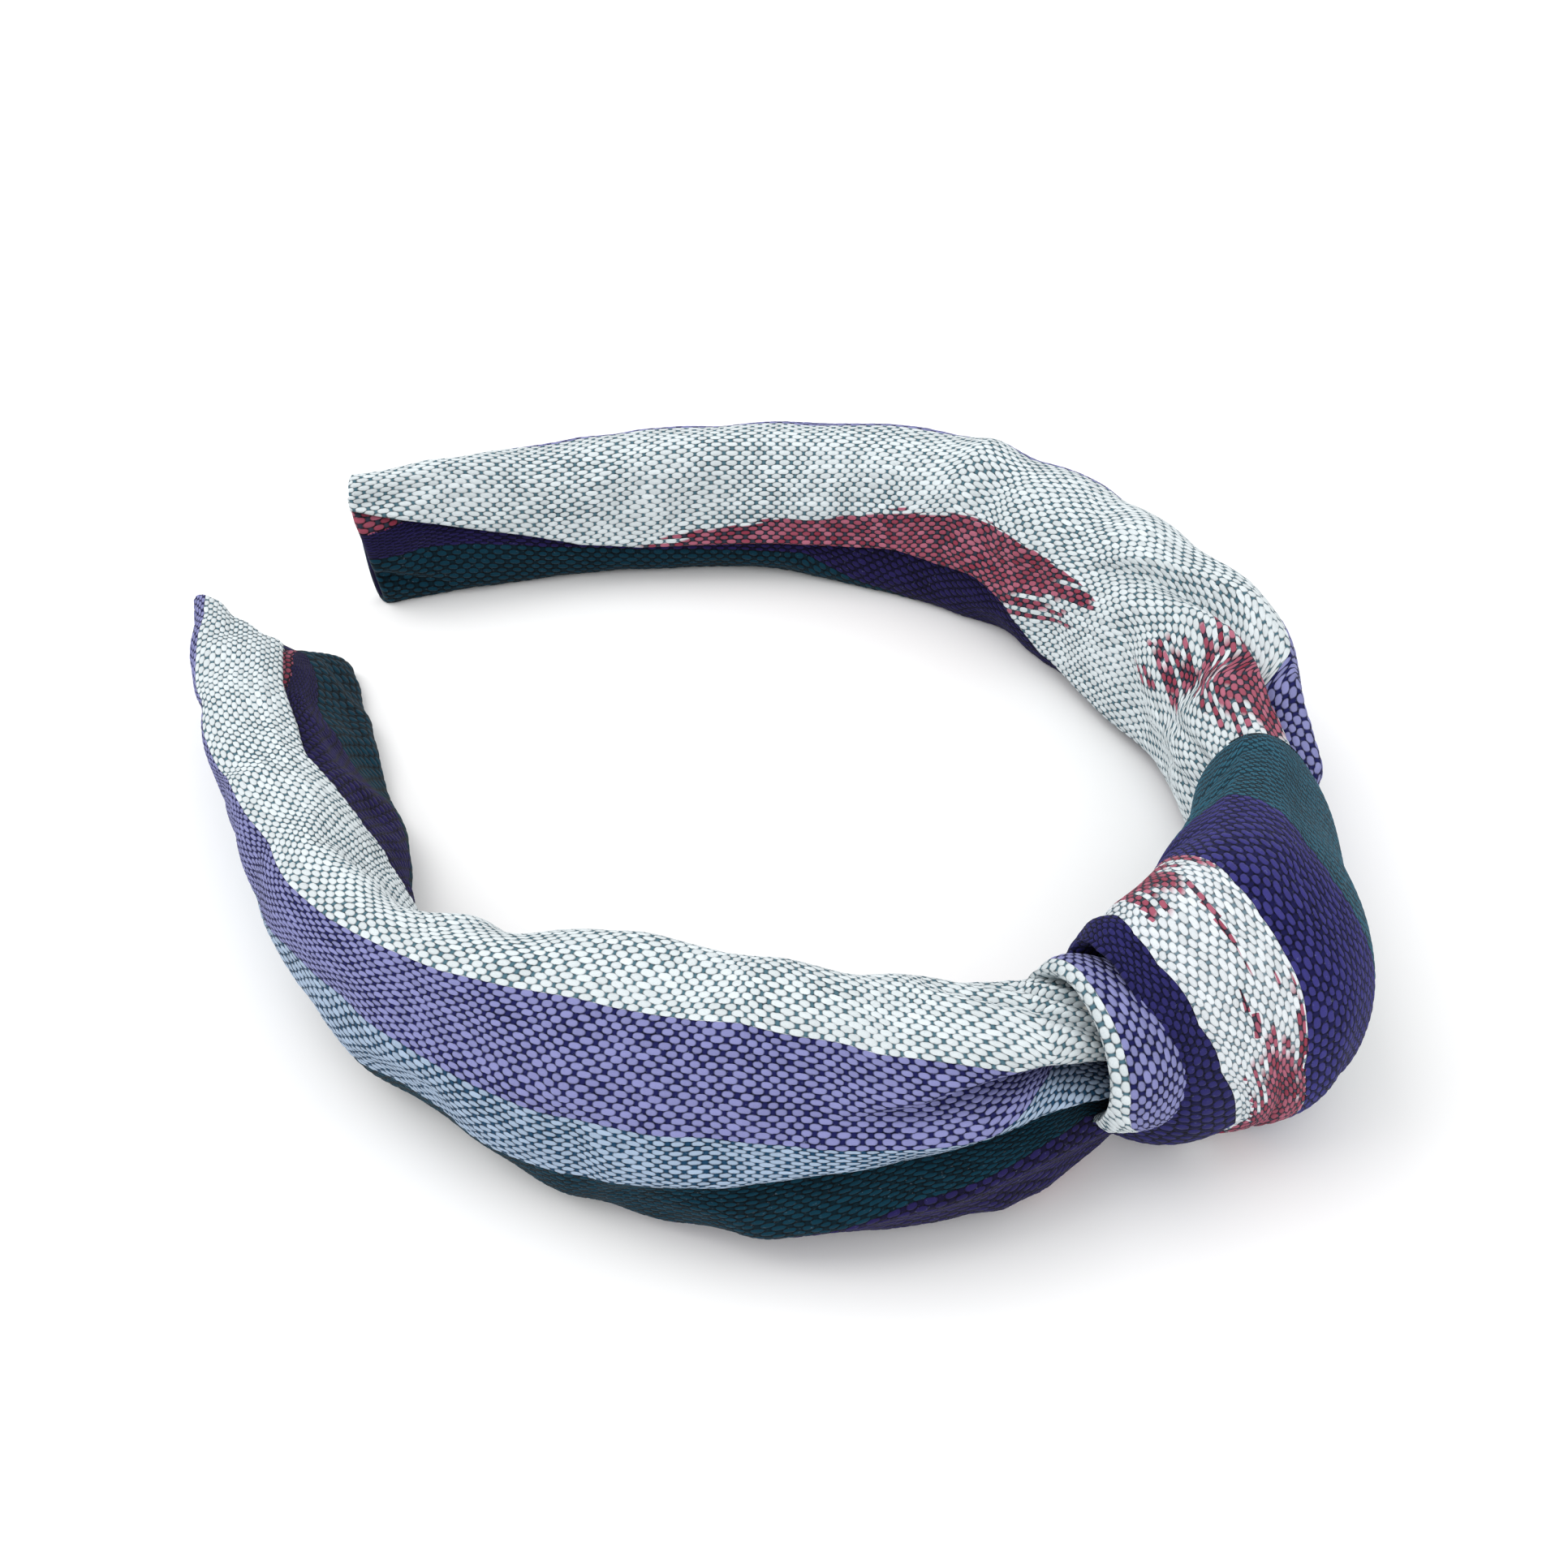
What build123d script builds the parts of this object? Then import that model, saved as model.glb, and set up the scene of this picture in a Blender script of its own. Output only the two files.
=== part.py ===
from build123d import *
import math
import os

# A knotted headband, lying on one long edge: +Z is up, the knot is at -Y and
# the two tips are at +Y. Millimetres throughout.

# ---- driving dimensions -------------------------------------------------
CLOTH = 0.8            # thickness of the handwoven cotton
ROUNDNESS = 2.3        # exponent of the arm's section, 2 is a plain ellipse
SINK = 0.35            # how much of each lower edge is flattened by its weight
CORE_THICK = 1.4       # springy plastic strip
CORE_SHARE = 0.72      # the strip's height as a share of the arm's height
CORE_INSET = 0.12      # the strip sits inwards of the middle by this share of the thickness
FIT = 0.3              # slack between layers inside one arm
SEAM_TALL = 6.0        # height of the turned-in seam allowance
SEAM_THICK = 0.7
THREAD = 0.3
STITCH = 4.0
STITCH_STEP = 0.45     # in station spacings
TIP_DEPTH = 2.2        # depth of the turned-in cloth that closes each tip
TIP_STITCHES = 5
FLEX_GAP = 3.4         # from a flex line to the first cloth of the arm
NOSE_GAP = 0.95        # from a flex line to the arm's end of the strip
TUNNEL = (4.6, 9.9)    # half depth and half height of the way through the knot
CENTRING = (3.8, 4.1)  # moves the middle of the whole's box onto the Z axis

# Stations along each arm, from its flex line beside the knot to its tip:
# x, y of the section's middle, height of the band, thickness, and lean in
# degrees (positive leans the upper edge outwards).
LEFT_ARM = [
    (-40.5, -56, 24.5, 15.5, -10),
    (-49.5, -47, 25.5, 17.5, -14),
    (-57.5, -33, 26, 18.5, -14),
    (-61, -18, 25.5, 18, -12),
    (-62, -3, 25, 16, -4),
    (-60.5, 11, 24.5, 14.5, 8),
    (-54.5, 25.5, 24.5, 13, 26),
    (-43.5, 39.5, 25, 11, 42),
    (-30, 53.5, 25, 9, 49),
    (-13.5, 70, 24, 6.5, 51),
]
RIGHT_ARM = [
    (12, -63.6, 23.5, 13.5, 0),
    (29, -52.5, 24, 15, -2),
    (40, -41, 25, 17, -2),
    (48.5, -27.5, 25, 17.5, 0),
    (54, -12, 24.5, 16.5, 2),
    (55, 4, 24, 15, 0),
    (51, 20, 23.5, 14, 0),
    (42.5, 35, 23, 13, 0),
    (31, 50, 22.5, 11, 0),
    (18.5, 62.5, 22.5, 8.5, 0),
    (8, 71, 22.5, 6.5, 0),
]
# The strip's way through the knot, between the two flex lines: x, y.
CROWN = [(-40.5, -56), (-31, -62.6), (-20, -66.8), (-8, -67.8), (3, -66.6), (12, -63.6)]
CROWN_TALL = 17.3
CROWN_MID = 12.2       # height of the strip's middle above the table
# Oval sections of the knot's wide outer turn: x, y of the middle, height of
# the middle, half depth, half height.
WRAP = [
    (-31, -65.5, 14.6, 11, 14.5),
    (-27, -68, 16.8, 13.5, 16.7),
    (-20, -69.5, 18.3, 15.2, 18.2),
    (-12, -69.5, 18, 14.7, 17.9),
    (-5, -68.4, 16.3, 12.4, 16.2),
    (2, -66.6, 14.1, 9.6, 14),
    (8, -65, 12.6, 7.4, 12.4),
]
# The same for the narrow turn that shows at the left mouth of the knot.
UNDER_LOOP = [
    (-37.6, -58.4, 12.6, 8.4, 12.2),
    (-34.6, -60.8, 13.9, 10.2, 13.8),
    (-31.4, -62.6, 13.7, 9.6, 13.6),
]


# ---- helpers ------------------------------------------------------------
def at(arm, t):
    """Station at index t, a number that needn't be whole (Catmull-Rom)."""
    i = min(max(int(math.floor(t)), 0), len(arm) - 2)
    f = t - i
    b, c = arm[i], arm[i + 1]
    a = arm[i - 1] if i else [2 * p - q for p, q in zip(b, c)]
    d = arm[i + 2] if i + 2 < len(arm) else [2 * q - p for p, q in zip(b, c)]
    return [
        0.5 * (2 * q + (r - p) * f + (2 * p - 5 * q + 4 * r - s) * f * f
               + (3 * q - p - 3 * r + s) * f ** 3)
        for p, q, r, s in zip(a, b, c, d)
    ]


def heading(arm, t):
    """Unit direction of travel in plan at index t."""
    p, q = at(arm, t - 0.02), at(arm, t + 0.02)
    dx, dy = q[0] - p[0], q[1] - p[1]
    run = math.hypot(dx, dy)
    return dx / run, dy / run


def outwards(arm, t):
    """Unit vector in plan from the ring's inside to its outside."""
    tx, ty = heading(arm, t)
    x, y = at(arm, t)[:2]
    side = 1 if ty * x - tx * y > 0 else -1
    return side * ty, -side * tx


def oval(tall, thick, count=20):
    """Points (along the band's height, outwards) of the arm's rounded section."""
    pts = []
    for k in range(count):
        turn = 2 * math.pi * k / count
        c, s = math.cos(turn), math.sin(turn)
        pts.append((
            tall / 2 * math.copysign(abs(c) ** (2 / ROUNDNESS), c),
            thick / 2 * math.copysign(abs(s) ** (2 / ROUNDNESS), s),
        ))
    return pts


def place(arm, t, points):
    """Section points at index t, leant and set on the table, as 3-D vectors."""
    x, y, tall, thick, lean = at(arm, t)
    nx, ny = outwards(arm, t)
    lean = math.radians(lean)
    low = min(a * math.cos(lean) - b * math.sin(lean) for a, b in oval(tall, thick, 72))
    spots = []
    for a, b in points:
        out = a * math.sin(lean) + b * math.cos(lean)
        up = a * math.cos(lean) - b * math.sin(lean) - low - SINK
        spots.append(Vector(x + nx * out, y + ny * out, up))
    return spots


def closed_curve(spots):
    return Wire([Edge.make_spline(spots, periodic=True)])


def closed_corners(spots):
    return Wire.make_polygon(spots, close=True)


def first_index(arm, gap):
    """Index at which the arm is gap millimetres from its first station."""
    x0, y0 = arm[0][:2]
    t = 0.0
    while math.hypot(at(arm, t)[0] - x0, at(arm, t)[1] - y0) < gap:
        t += 0.01
    return t


def indices(start, end):
    """The start, every whole and half station between, and the end."""
    halves = [k / 2 for k in range(int(2 * start), int(2 * end) + 2)]
    return [start] + [t for t in halves if start + 0.2 < t < end - 0.2] + [end]


def skin(arm, inset, start, end):
    """Closed solid of the arm's section, shrunk all round by inset."""
    rings = []
    for t in indices(start, end):
        tall, thick = at(arm, t)[2:4]
        rings.append(closed_curve(place(arm, t, oval(tall - 2 * inset, thick - 2 * inset))))
    return Solid.make_loft(rings)


def on_table(solid):
    """Cut away what lies below the table, which leaves a flat lower edge."""
    return solid & Pos(0, 0, 100) * Box(400, 400, 200)


# ---- the arms -----------------------------------------------------------
def sleeve(arm):
    """Tube of cloth round one arm, open at both ends."""
    start, end = first_index(arm, FLEX_GAP), len(arm) - 1
    return on_table(skin(arm, 0, start, end) - skin(arm, CLOTH, start, end))


def core_offset(arm, t):
    return -CORE_INSET * at(arm, t)[3]


def core(arm):
    """Springy strip inside one arm, from the flex line to just short of the tip."""
    start, end = first_index(arm, NOSE_GAP), len(arm) - 1.3
    bars = []
    for t in indices(start, end):
        half = CORE_SHARE * at(arm, t)[2] / 2
        mid = core_offset(arm, t)
        near, far = mid - CORE_THICK / 2, mid + CORE_THICK / 2
        bars.append(closed_corners(place(arm, t, [(half, near), (half, far), (-half, far), (-half, near)])))
    return Solid.make_loft(bars, ruled=True)


def pad(arm):
    """Sponge between the strip's outer face and the cloth."""
    start, end = first_index(arm, FLEX_GAP), len(arm) - 2
    slabs = []
    for t in indices(start, end):
        tall, thick = at(arm, t)[2:4]
        half_a, half_b = tall / 2 - CLOTH - FIT, thick / 2 - CLOTH - FIT
        base = core_offset(arm, t) + CORE_THICK / 2 + 1.5 * FIT
        sweep = math.asin(math.copysign((abs(base) / half_b) ** (ROUNDNESS / 2), base))
        arc = []
        for k in range(9):
            turn = sweep + (math.pi - 2 * sweep) * k / 8
            c, s = math.cos(turn), math.sin(turn)
            arc.append((
                half_a * math.copysign(abs(c) ** (2 / ROUNDNESS), c),
                half_b * math.copysign(abs(s) ** (2 / ROUNDNESS), s),
            ))
        arc = place(arm, t, arc)
        slabs.append(Wire([Edge.make_spline(arc), Edge.make_line(arc[-1], arc[0])]))
    return Solid.make_loft(slabs)


def seam_face(arm, t):
    """Offset of the seam allowance's inner face from the section's middle."""
    return -(at(arm, t)[3] / 2 - CLOTH - FIT - SEAM_THICK)


def seam_allowance(arm):
    """Turned-in edges of the tube's long seam, behind the inner face."""
    start, end = first_index(arm, FLEX_GAP), len(arm) - 1.3
    strips = []
    for t in indices(start, end):
        near, half = seam_face(arm, t), SEAM_TALL / 2
        far = near - SEAM_THICK
        strips.append(closed_corners(place(arm, t, [(half, far), (half, near), (-half, near), (-half, far)])))
    return Solid.make_loft(strips, ruled=True)


def seam_thread(arm):
    """Row of stitches through the seam allowance, on its hidden side."""
    t = first_index(arm, FLEX_GAP) + STITCH_STEP
    stitches = []
    while t < len(arm) - 2:
        spot = place(arm, t, [(0, seam_face(arm, t) + THREAD + 0.1)])[0]
        tx, ty = heading(arm, t)
        bar = Plane(spot, x_dir=(tx, ty, 0), z_dir=(0, 0, 1)) * Box(STITCH, THREAD, THREAD)
        stitches.append(bar)
        t += STITCH_STEP
    return Compound(children=stitches)


def tip_fold(arm):
    """Turned-in end of the tube, which closes the tip."""
    end = len(arm) - 1
    x, y = at(arm, end)[:2]
    start = end
    while math.hypot(at(arm, start)[0] - x, at(arm, start)[1] - y) < TIP_DEPTH:
        start -= 0.01
    return skin(arm, CLOTH + FIT / 2, start, end)


def tip_thread(arm):
    """Small overcast stitches that hold the turned-in end shut."""
    end = len(arm) - 1
    tx, ty = heading(arm, end)
    nx, ny = outwards(arm, end)
    lean = math.radians(at(arm, end)[4])
    across = (nx * math.cos(lean), ny * math.cos(lean), -math.sin(lean))
    stitches = []
    for k in range(TIP_STITCHES):
        height = (k / (TIP_STITCHES - 1) - 0.5) * 0.6 * at(arm, end)[2]
        spot = place(arm, end, [(height, 0)])[0] + Vector(tx, ty, 0) * (THREAD / 2 + 0.02)
        stitches.append(Plane(spot, x_dir=across, z_dir=(tx, ty, 0)) * Box(2.4, THREAD, THREAD))
    return Compound(children=stitches)


# ---- the crown and its knot --------------------------------------------
def crown_core():
    """Middle length of the springy strip, with a round nose at each flex line."""
    bars = []
    for i in range(len(CROWN)):
        tx, ty = heading(CROWN, i)
        x, y = CROWN[i]
        corners = []
        for side, up in ((1, 1), (-1, 1), (-1, -1), (1, -1)):
            corners.append(Vector(
                x + side * ty * CORE_THICK / 2,
                y - side * tx * CORE_THICK / 2,
                CROWN_MID + up * CROWN_TALL / 2,
            ))
        bars.append(closed_corners(corners))
    strip = Solid.make_loft(bars)
    for x, y in (CROWN[0], CROWN[-1]):
        strip += Pos(x, y, CROWN_MID) * Cylinder(CORE_THICK / 2, CROWN_TALL)
    return strip


def crown_y(x):
    """The strip's y at a given x inside the knot."""
    for (x0, y0), (x1, y1) in zip(CROWN, CROWN[1:]):
        if x <= x1 or x1 == CROWN[-1][0]:
            return y0 + (y1 - y0) * (x - x0) / (x1 - x0)


def ellipse_ring(x, y, z, depth, tall, count=16):
    """Ellipse standing across the crown, as a closed wire."""
    turns = [2 * math.pi * k / count for k in range(count)]
    return closed_curve([Vector(x, y + depth * math.cos(u), z + tall * math.sin(u)) for u in turns])


def tunnel(inset):
    """Way through the knot that the gathered cloth and the strip pass along."""
    first, last = UNDER_LOOP[0][0] - 1, WRAP[-1][0] + 1
    stops = [first] + [x for x, _ in CROWN[1:-1]] + [last]
    depth, tall = TUNNEL
    return Solid.make_loft([
        ellipse_ring(x, crown_y(x), CROWN_MID, depth - inset, tall - inset) for x in stops
    ])


def turn_of_cloth(ovals):
    """One turn of cloth round the crown, with the way through it."""
    return Solid.make_loft([ellipse_ring(*o) for o in ovals]) - tunnel(0)


def knot_gather():
    """Cloth gathered round the strip inside the knot."""
    full = tunnel(FIT)
    bars = []
    for i in range(len(CROWN)):
        tx, ty = heading(CROWN, i)
        x, y = CROWN[i]
        half = CORE_THICK / 2 + FIT
        bars.append(closed_corners([
            Vector(x + s * ty * half, y - s * tx * half, CROWN_MID + u * (CROWN_TALL / 2 + FIT))
            for s, u in ((1, 1), (-1, 1), (-1, -1), (1, -1))
        ]))
    return full - Solid.make_loft(bars)


# ---- write every piece --------------------------------------------------
os.makedirs("parts", exist_ok=True)
pieces = {
    "crown_core": crown_core(),
    "knot_gather": knot_gather(),
    "knot_wrap": turn_of_cloth(WRAP),
    "knot_under_loop": turn_of_cloth(UNDER_LOOP),
}
for side, arm in (("left", LEFT_ARM), ("right", RIGHT_ARM)):
    pieces[side + "_core"] = core(arm)
    pieces[side + "_pad"] = pad(arm)
    pieces[side + "_sleeve"] = sleeve(arm)
    pieces[side + "_seam_allowance"] = seam_allowance(arm)
    pieces[side + "_seam_thread"] = seam_thread(arm)
    pieces[side + "_tip_fold"] = tip_fold(arm)
    pieces[side + "_tip_thread"] = tip_thread(arm)
for name, piece in pieces.items():
    export_step(Pos(*CENTRING) * piece, f"parts/{name}.step")
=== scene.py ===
"""A knotted headband in handwoven striped cotton, on a pale floor."""
import math

import bmesh
import bpy
import numpy as np
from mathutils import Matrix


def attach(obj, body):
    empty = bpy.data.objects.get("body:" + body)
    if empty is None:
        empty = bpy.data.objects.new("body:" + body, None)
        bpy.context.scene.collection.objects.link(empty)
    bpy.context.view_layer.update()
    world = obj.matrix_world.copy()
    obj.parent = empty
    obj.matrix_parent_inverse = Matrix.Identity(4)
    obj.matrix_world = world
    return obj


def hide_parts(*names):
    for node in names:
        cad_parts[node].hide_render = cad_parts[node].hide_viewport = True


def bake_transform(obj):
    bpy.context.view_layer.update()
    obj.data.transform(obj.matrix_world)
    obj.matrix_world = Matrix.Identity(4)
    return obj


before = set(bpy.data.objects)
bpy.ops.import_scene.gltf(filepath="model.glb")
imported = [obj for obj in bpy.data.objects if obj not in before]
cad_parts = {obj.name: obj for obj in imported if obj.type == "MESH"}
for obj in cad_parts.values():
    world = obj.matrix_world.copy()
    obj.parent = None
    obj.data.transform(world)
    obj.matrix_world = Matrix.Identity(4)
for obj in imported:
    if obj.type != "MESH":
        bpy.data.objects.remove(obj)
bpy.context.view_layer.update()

MM = 0.001
CENTRING = (3.8, 4.1)     # mm, as in part.py
ARM_PITCH = (0.78, 0.68)  # mm between the threads that run round the band, and that run along it
KNOT_PITCH = (0.95, 0.60) # the same on the wide turn, which is pulled tight
FLOAT_LONG = 0.40         # half length of a warp float, in pairs of weft threads
FLOAT_WIDE = 0.60         # half width of a warp float, in warp threads
FLOAT_POWER = 2.4
THREAD_RISE = 0.12        # mm that a float stands above the cloth
ROUNDNESS = 2.3
SINK = 0.35
UV_SCALE = 100.0          # mm of cloth in one unit of UV
# slow unevenness of the hand-laid threads: share of a pitch, waves per mm along and across
UNEVEN_WEFT = [(0.17, 0.93, 0.37), (0.11, 0.31, -1.13)]
UNEVEN_WARP = [(0.10, 0.23, 0.51), (0.06, 0.71, 1.31)]

# ---- arms: x, y, height, thickness, lean, as in part.py -------------------
LEFT_ARM = [
    (-40.5, -56, 24.5, 15.5, -10), (-49.5, -47, 25.5, 17.5, -14), (-57.5, -33, 26, 18.5, -14),
    (-61, -18, 25.5, 18, -12), (-62, -3, 25, 16, -4), (-60.5, 11, 24.5, 14.5, 8),
    (-54.5, 25.5, 24.5, 13, 26), (-43.5, 39.5, 25, 11, 42), (-30, 53.5, 25, 9, 49),
    (-13.5, 70, 24, 6.5, 51),
]
RIGHT_ARM = [
    (12, -63.6, 23.5, 13.5, 0), (29, -52.5, 24, 15, -2), (40, -41, 25, 17, -2),
    (48.5, -27.5, 25, 17.5, 0), (54, -12, 24.5, 16.5, 2), (55, 4, 24, 15, 0),
    (51, 20, 23.5, 14, 0), (42.5, 35, 23, 13, 0), (31, 50, 22.5, 11, 0),
    (18.5, 62.5, 22.5, 8.5, 0), (8, 71, 22.5, 6.5, 0),
]
# where each arm starts, inside the knot: x, y, height, thickness, lean
LEFT_ROOT = (-31.5, -62.6, 16.5, 10.0, -8)
RIGHT_ROOT = (1.0, -66.6, 18.5, 10.5, 0)


def at(arm, root, t):
    """Rows of (x, y, height, thickness, lean) at an array of station indices."""
    arm = np.array(arm, float)
    pad = np.vstack([2 * arm[0] - arm[1], arm, 2 * arm[-1] - arm[-2]])
    t = np.asarray(t, float)
    i = np.clip(np.floor(t).astype(int), 0, len(arm) - 2)
    f = (t - i)[:, None]
    p, q, r, s = (pad[i + k] for k in range(4))
    rows = 0.5 * (2 * q + (r - p) * f + (2 * p - 5 * q + 4 * r - s) * f ** 2
                  + (3 * q - p - 3 * r + s) * f ** 3)
    back = np.clip(-t, 0, None)[:, None]
    return np.where(back > 0, arm[0] + (np.array(root, float) - arm[0]) * back, rows)


def curve(pairs, t):
    """Straight interpolation through (t, value) pairs."""
    pairs = np.array(pairs, float)
    return np.interp(t, pairs[:, 0], pairs[:, 1])


def weave_rise(u, v, pitch):
    """Height from 0 to 1 of the cloth's face at u, v in mm along and across."""
    U = u / pitch[0] + sum(k * np.sin(a * u + b * v) for k, a, b in UNEVEN_WEFT)
    V = v / pitch[1] + sum(k * np.sin(a * u + b * v) for k, a, b in UNEVEN_WARP)
    i = np.floor(V)
    across = np.abs(V - i - 0.5)
    along = (U + np.mod(i, 2)) / 2
    along = np.abs(along - np.floor(along) - 0.5)
    own = (along / FLOAT_LONG) ** FLOAT_POWER + (across / FLOAT_WIDE) ** FLOAT_POWER
    beside = ((0.5 - along) / FLOAT_LONG) ** FLOAT_POWER + ((1 - across) / FLOAT_WIDE) ** FLOAT_POWER
    return np.sqrt(np.clip(1 - np.minimum(own, beside), 0, None))


def smooth_noise(shape, cells, seed):
    """Soft bumps from -1 to 1 over a grid, cells = bumps along and across."""
    rng = np.random.default_rng(seed)
    coarse = rng.uniform(-1, 1, (cells[0] + 3, cells[1] + 3))
    rows = np.linspace(0, cells[0], shape[0])
    cols = np.linspace(0, cells[1], shape[1])

    def weights(x):
        i = np.floor(x).astype(int)
        f = x - i
        return i, np.stack([(1 - f) ** 3, 3 * f ** 3 - 6 * f ** 2 + 4,
                            -3 * f ** 3 + 3 * f ** 2 + 3 * f + 1, f ** 3]) / 6
    ri, rw = weights(np.clip(rows, 0, cells[0] - 1e-6))
    ci, cw = weights(np.clip(cols, 0, cells[1] - 1e-6))
    out = np.zeros(shape)
    for a in range(4):
        for b in range(4):
            out += rw[a][:, None] * cw[b][None, :] * coarse[np.ix_(ri + a, ci + b)]
    return out * 1.6


# ---- the cloth of each arm --------------------------------------------------
# lines: station index -> mm round the section from its top, outwards;
# each entry ends with the fabric coordinate v that lies there.
LEFT = {
    "arm": LEFT_ARM, "root": LEFT_ROOT, "first": -0.75, "last": 9.0, "side": -1,
    "loose": 1.12, "white_close": 1.12, "dye_edge": [(0, 99)],
    "seam": [(-1, .79), (5, .765), (5.5, .745), (6, .765), (6.5, .815), (7, .845), (7.5, .82),
             (8, .825), (8.5, .795), (9, .78)],
    # mm by which the arm's line is off its stations, along SIDEWAYS
    "sideways": [(5, 0), (5.5, .5), (6, 2), (6.5, 2.5), (7, 2), (7.5, 1), (8, .3), (8.5, -.5),
                 (9, -.7)],
    "lines": [
        (0, [(-.6, 8), (-.35, 8.4), (0, 9.2), (.3, 9.1), (.5, 8.4), (1, 6.6), (2, 4.2), (3, 4.5), (4, 5),
             (5, 3.4), (6, .9), (6.5, 1), (7, 1.1), (7.5, .9), (8, .6), (8.5, -1), (9, -1.6)]),
        (12, [(-.6, 8.7), (-.35, 9), (.15, 11.5), (.6, 14.6), (1, 15.2), (2, 15.6), (3, 16.2), (4, 13.1),
              (5, 9.8), (6, 7.5), (7, 6), (9, 6)]),
        (21, [(-.6, 12), (-.35, 12.6), (.15, 14.3), (.6, 15.6), (1, 16.4), (2, 20.8), (3, 23.9),
              (4, 21.5), (5, 18.5), (6, 16.5), (9, 15)]),
        (34, [(-.6, 14.4), (-.35, 15), (.15, 17.6), (.6, 20), (1, 21.9), (1.5, 26), (2, 29), (3, 33),
              (4, 34.5), (6, 36.5), (7, 36.7), (7.2, 36.9), (7.5, 38.7), (7.8, 41.2), (8, 41.2),
              (8.3, 39.8), (8.6, 39), (9, 38.3)]),
        (46, [(-.6, 22.5), (-.35, 24.5), (.15, 29), (.6, 32), (1, 35.5), (2, 41.5), (3, 46), (5, 52),
              (7.5, 52), (7.9, 48), (8.1, 45), (8.3, 43), (8.6, 40.8), (9, 37.6)]),
    ],
    # along the arm: half width, then (station, mm round, depth in mm) points
    "folds": [
        ((.6, 1.5), [(-.6, 8.8, -4.2), (-.2, 9.5, -4.4), (.15, 9.9, -4.2), (.45, 10.4, -3.3),
                     (.8, 11.2, -1.9), (1.2, 12.4, -.7), (1.5, 13.4, 0)]),
        ((2.2, .8), [(-.6, 6.6, .5), (0, 7.4, .8), (.5, 7.6, .5), (.9, 7.6, 0)]),
        ((2.4, 1.0), [(-.6, 11.2, 1.2), (.15, 12.8, 1.3), (.6, 14.4, 1.5), (1.1, 16, 1.6), (1.6, 18, 1.2),
                      (2.0, 20, .6), (2.5, 22, 0)]),
        ((.7, 1.9), [(-.6, 12.8, -1.5), (-.2, 13.6, -1.8), (.3, 15.2, -2.0), (.8, 16.8, -1.9),
                     (1.3, 18.6, -1.6), (1.8, 21, -1.0), (2.3, 23.6, -.4), (2.9, 27, 0)]),
        (1.6, [(-.6, 16, .9), (.5, 20.4, .8), (1.3, 24.4, .7), (2.2, 29.5, .4), (3, 33, 0)]),
        (2.0, [(-.6, 19, -.4), (.5, 23.6, -.3), (1.3, 28, -.2), (2.2, 33, -.1), (2.8, 35, 0)]),
        (2.0, [(-.6, 24, -.6), (.6, 29, -.5), (1.5, 35, -.4), (2.2, 38, 0)]),
        (.8, [(-.6, 6.2, .4), (-.2, 5.2, .45), (.3, 2.6, .35), (.8, -.4, .1), (1.0, -1, 0)]),
        (.7, [(-.6, 4.9, -.6), (-.2, 3.7, -.6), (.3, 1, -.45), (.7, -1.6, -.15), (.9, -3, 0)]),
        (.8, [(-.6, 3.6, .4), (-.2, 2.2, .4), (.3, -.8, .3), (.7, -3.6, .1), (.9, -5, 0)]),
        (.7, [(-.6, 2.2, -.6), (-.2, .7, -.6), (.3, -2.6, -.4), (.7, -5.6, -.1), (.9, -7, 0)]),
        (.8, [(-.6, .8, .4), (-.2, -.9, .4), (.25, -4.4, .25), (.7, -8, 0)]),
        (.75, [(-.6, -.9, -.6), (-.2, -2.8, -.6), (.25, -6.4, -.35), (.6, -9.6, 0)]),
        (.9, [(-.6, -3, .4), (-.2, -5, .3), (.3, -8.6, .2), (.6, -12, 0)]),
        (2.2, [(1.6, 9, 0), (2.4, 10.4, -.35), (3.6, 11, -.3), (4.6, 8, 0)]),
        (2.0, [(4.2, -9, 0), (4.9, -8, -.8), (5.6, -7.2, -.5), (6.4, -6.5, 0)]),
        (1.6, [(6.2, 3, 0), (7, 3.6, -.35), (8.2, 3.2, -.35), (8.8, 3, 0)]),
        (1.2, [(8.2, -5, 0), (8.7, -5.4, -.5), (9, -5.6, -.9)]),
    ],
    # station, mm round, rise in mm, spread along and across in mm
    "humps": [
        (2.75, -5, 2.5, 14, 6), (.1, -5, -.9, 4, 6), (1.0, -4.5, .5, 5, 5), (1.75, -4.5, 1.3, 6, 6),
        (4.35, -4, -.3, 5, 5), (4.75, -8, -1.7, 4, 5), (5.4, -7, -.5, 6, 5), (3.85, -6, -1.2, 3.6, 4),
        (3.4, 14, .7, 16, 7), (5.3, 8, .2, 10, 5), (4.95, -13, -1.6, 5, 6), (6.8, -9, .5, 7, 5),
        (3.0, 28, .8, 10, 5), (1.5, 29, .7, 8, 5), (.3, 26, .8, 6, 5), (6.8, 34, .7, 8, 6),
        (8.2, -7, .45, 6, 5), (7.5, 6, -.35, 5, 5), (7.4, 44, .5, 9, 3), (4.3, 20, .8, 16, 7),
    ],
    # how far the tip's edge is drawn back, round the section: mm round, mm
    "drawn": [(-14, 12), (-11, 10.6), (-9, 9), (-6, 4.6), (-3, 2.2), (-1, .8), (1, 0), (8, 0), (20, 1),
              (27, 3), (31, 4.6), (36, 7.4), (41, 9.6), (46, 11)],
    "dye": [],
}
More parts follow.
